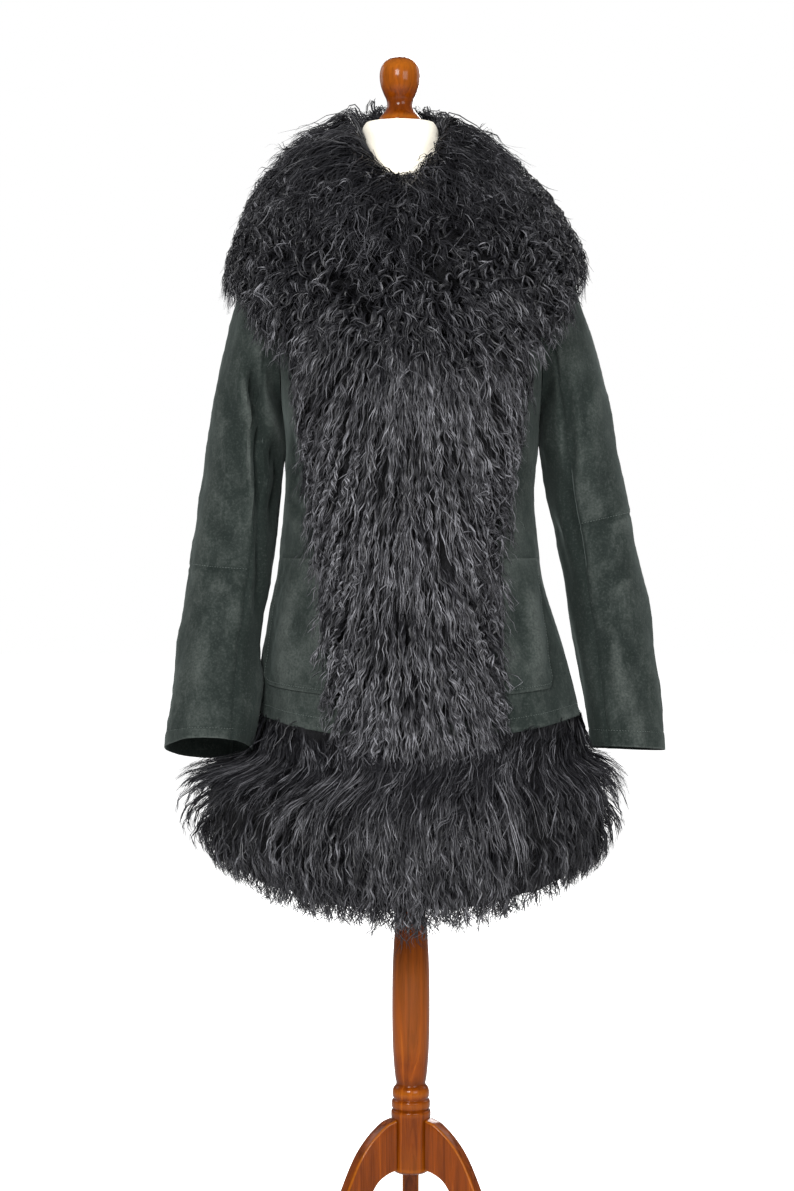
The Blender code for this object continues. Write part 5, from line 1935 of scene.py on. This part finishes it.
# ---- the dress form ----
@dataclass
class DressForm:
    """The jersey torso with its neck, the turned knob and column, and three curved legs."""

    room: Workroom
    finishes: Wardrobe
    neck_top: float = 1.443
    knob_gap: float = 0.0004
    column_foot: float = 0.204
    leg_half: float = 0.010
    leg_round: float = 0.0030
    headings: tuple[tuple[str, float], ...] = (("back", 90.0), ("left", -26.0), ("right", 206.0))
    gap: float = 0.0010
    shoulder: float = 1.31
    segments: int = 60
    turned_segments: int = 56

    def torso(self) -> None:
        """The form: its own sections, then the coat's inside over the shoulders, then its neck."""
        angles = np.linspace(0, 360, self.segments + 1)[:-1]
        own, neck = RingedSurface(FORM), RingedSurface(NECK)
        below = (0.700, 0.7015, 0.705, *np.linspace(0.712, 1.180, 34))
        above = (*np.linspace(1.3895, 1.4375, 14), 1.4400, 1.4420, self.neck_top)
        rings = [own.at(angles, level) for level in below]
        for level in np.linspace(1.196, 1.374, 20):
            inside = SUEDE_WALL + (self.gap if level < self.shoulder else 2 * self.gap)
            around = np.full(self.segments, level)
            normal = BODY_SURFACE.normal(angles, around)
            rings.append(BODY_SURFACE.at(angles, around) - inside * normal)
        rings += [neck.at(angles, level) for level in above]
        patch = turned_out(tube(np.stack(rings)))
        obj = self.room.piece("form_torso", patch, self.finishes.jersey, Slot.JERSEY, 50)
        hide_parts("torso")

    def turned(
        self, name: str, node: str, outline: Sequence, foot: float, x: float, each: int
    ) -> None:
        """Makes a turned piece of wood from its outline.

        Args:
            name: the piece's name.
            node: the solid that it replaces.
            outline: its radii and heights.
            foot: the height of its foot.
            x: where its axis stands.
            each: points between two lines of the outline.
        """
        table = np.array(outline)
        run = run_along(table)
        spots = [np.linspace(p, q, each + 1)[:-1] for p, q in zip(run[:-1], run[1:])]
        radius, height = smooth(run, table, np.concatenate([*spots, run[-1:]])).T
        radius = np.minimum(radius, table[:, 0].max())[:, None]
        height = np.clip(height, 0, table[-1, 1])[:, None]
        around = np.linspace(0, TURN, self.turned_segments + 1)[:-1]
        rings = np.stack([
            x + radius * np.cos(around), radius * np.sin(around), foot + height + 0 * around
        ], -1)
        window = 4 * each + 1
        padded = np.pad(radius[:, 0], 2 * each, "edge")
        beads = radius[:, 0] - np.convolve(padded, np.ones(window) / window, "valid")
        wear_and_shade = np.clip(0.5 + beads * 170, 0, 1)[:, None] + 0 * rings[..., 0]
        wear_and_shade = np.concatenate([wear_and_shade.ravel(), [0.3, 0.3]])
        patch = turned_out(tube(rings))
        obj = self.room.piece(name, patch, self.finishes.wood, Slot.WOOD, 55, wear_and_shade=wear_and_shade)
        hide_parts(node)

    def leg(self, word: str, heading: float) -> None:
        """Makes a curved leg that heads outwards at that many degrees from +X."""
        knots = np.arange(len(LEG), dtype=float)
        edges = smooth(knots, np.array(LEG), np.linspace(0, len(LEG) - 1, 61))
        edges[:, 3] = np.maximum(edges[:, 3], 0.0)
        heading = math.radians(heading)
        out = np.array([math.cos(heading), math.sin(heading)])
        aside = np.array([-out[1], out[0]])
        half, soft = self.leg_half, self.leg_round
        quarter = np.repeat(np.arange(4), 5)
        phi = np.radians(quarter * 90 + np.tile(np.linspace(0, 90, 5), 4))
        above, outer = quarter < 2, (quarter == 0) | (quarter == 3)
        sine, cosine = np.sin(phi), np.cos(phi)
        rings = []
        for row in edges:
            upper, lower = row[:2], row[2:]
            way = (upper - lower) / np.linalg.norm(upper - lower)
            centre = np.where(above[:, None], upper - soft * way, lower + soft * way)
            spot = centre + soft * sine[:, None] * way
            width = np.where(outer, half - soft, soft - half) + soft * cosine
            rings.append(np.column_stack([out * spot[:, :1] + aside * width[:, None], spot[:, 1]]))
        rings = np.array(rings)
        rings[..., 2] = np.maximum(rings[..., 2], 0.0)
        wear_and_shade = 0.5 + 0.35 * np.abs(np.sin(2 * phi)) + 0 * rings[..., 0]
        wear_and_shade = np.concatenate([wear_and_shade.ravel(), [0.4, 0.4]])
        patch, name = turned_out(tube(rings)), f"stand_leg_{word}"
        obj = self.room.piece(name, patch, self.finishes.wood, Slot.WOOD, 50, wear_and_shade=wear_and_shade)
        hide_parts(f"leg_{word}")

    def make(self) -> None:
        """Makes the torso, the turned pieces and the legs."""
        self.torso()
        knob_foot = self.neck_top + self.knob_gap
        self.turned("form_knob", "knob", KNOB, knob_foot, NECK[-1].centre_x, 4)
        self.turned("stand_column", "column", COLUMN, self.column_foot, 0.0, 3)
        for word, heading in self.headings:
            self.leg(word, heading)


# ---- the studio ----
class SoftLight(NamedTuple):
    """A square light: its name, its place, its side and its power."""

    name: str
    place: tuple[float, float, float]
    size: float
    power: float


def look(obj: Piece, place: Sequence[float], target: Sequence[float]) -> None:
    """Puts a light or a camera at a place and turns it to its target."""
    obj.location = place
    way = Vector(target) - Vector(place)
    obj.rotation_euler = way.to_track_quat("-Z", "Y").to_euler()
    bpy.context.scene.collection.objects.link(obj)


@dataclass
class Studio:
    """The floor, the lights and the camera."""

    room: Workroom
    finishes: Wardrobe
    eye: tuple[float, float, float] = (-0.0227, -3.1, 1.0)
    aim: tuple[float, float, float] = (-0.0227, 0.0, 0.889)
    chest: tuple[float, float, float] = (0.0, 0.0, 1.05)
    lens: float = 79.4
    sensor: float = 36.0
    floor_half: float = 14.0
    floor_drop: float = 0.0004
    ambient: float = 0.36
    backdrop: float = 1.0
    lights: tuple[SoftLight, ...] = (
        SoftLight("key", (-0.95, -3.3, 2.35), 1.2, 200.0),
        SoftLight("fill", (1.7, -3.0, 1.8), 1.6, 85.0),
        SoftLight("back", (0.5, 3.4, 2.3), 1.6, 120.0),
        SoftLight("rim_left", (-1.9, 1.5, 2.0), 1.2, 14.0),
        SoftLight("rim_right", (1.9, 1.5, 2.0), 1.2, 14.0),
    )

    def floor(self) -> None:
        """A large pale floor, a little below the feet."""
        edge = np.linspace(-self.floor_half, self.floor_half, 9)
        x, y = np.meshgrid(edge, edge)
        points = np.stack([x, y, np.full_like(x, -self.floor_drop)], -1).reshape(-1, 3)
        patch = Patch(points - FOOTPRINT, lattice(9, 9))
        obj = self.room.piece("studio_floor", patch, self.finishes.floor, None)

    def light(self, light: SoftLight) -> None:
        """A soft square light that looks at the coat's chest."""
        data = bpy.data.lights.new(light.name, "AREA")
        data.size, data.energy = light.size, light.power
        look(bpy.data.objects.new(light.name, data), light.place, self.chest)

    def world(self) -> None:
        """A white world, dimmer on the coat than behind it."""
        world = bpy.data.worlds.new("studio")
        world.use_nodes = True
        graph, shade = Graph(world.node_tree), world.node_tree.nodes["Background"]
        seen = graph.add("LightPath").outputs["Is Camera Ray"]
        graph.feed(shade, Strength=graph.span(seen, 0.0, 1.0, self.ambient, self.backdrop))
        shade.inputs["Color"].default_value = (1.0, 1.0, 1.0, 1.0)
        bpy.context.scene.world = world

    def camera(self) -> None:
        """The camera, in front and level with the coat."""
        data = bpy.data.cameras.new("camera")
        data.lens, data.sensor_width, data.sensor_fit = self.lens, self.sensor, "AUTO"
        data.clip_start, data.clip_end = 0.05, 100.0
        camera = bpy.data.objects.new("camera", data)
        look(camera, self.eye, self.aim)
        bpy.context.scene.camera = camera

    def make(self) -> None:
        """Makes the stage, the lights, the world and the camera."""
        self.floor()
        for light in self.lights:
            self.light(light)
        self.world()
        self.camera()
        bpy.context.scene.view_settings.view_transform = "Standard"


def main() -> None:
    """Builds every sub-assembly round the frame and logs how many triangles it made."""
    logging.basicConfig(level=logging.INFO, format="%(name)s %(message)s")
    for old in list(bpy.data.objects):
        bpy.data.objects.remove(old)
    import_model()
    room, finishes = Workroom(), Wardrobe()
    body = CoatBody(room, finishes)
    body.make()
    pockets = Pockets(body)
    for side in Side:
        pockets.make(side)
        Sleeve(room, finishes, side).make()
    Fleece(room, finishes).make()
    DressForm(room, finishes).make()
    Studio(room, finishes).make()
    LOG.info("%d triangles in all", room.triangles)


if __name__ == "__main__":
    main()
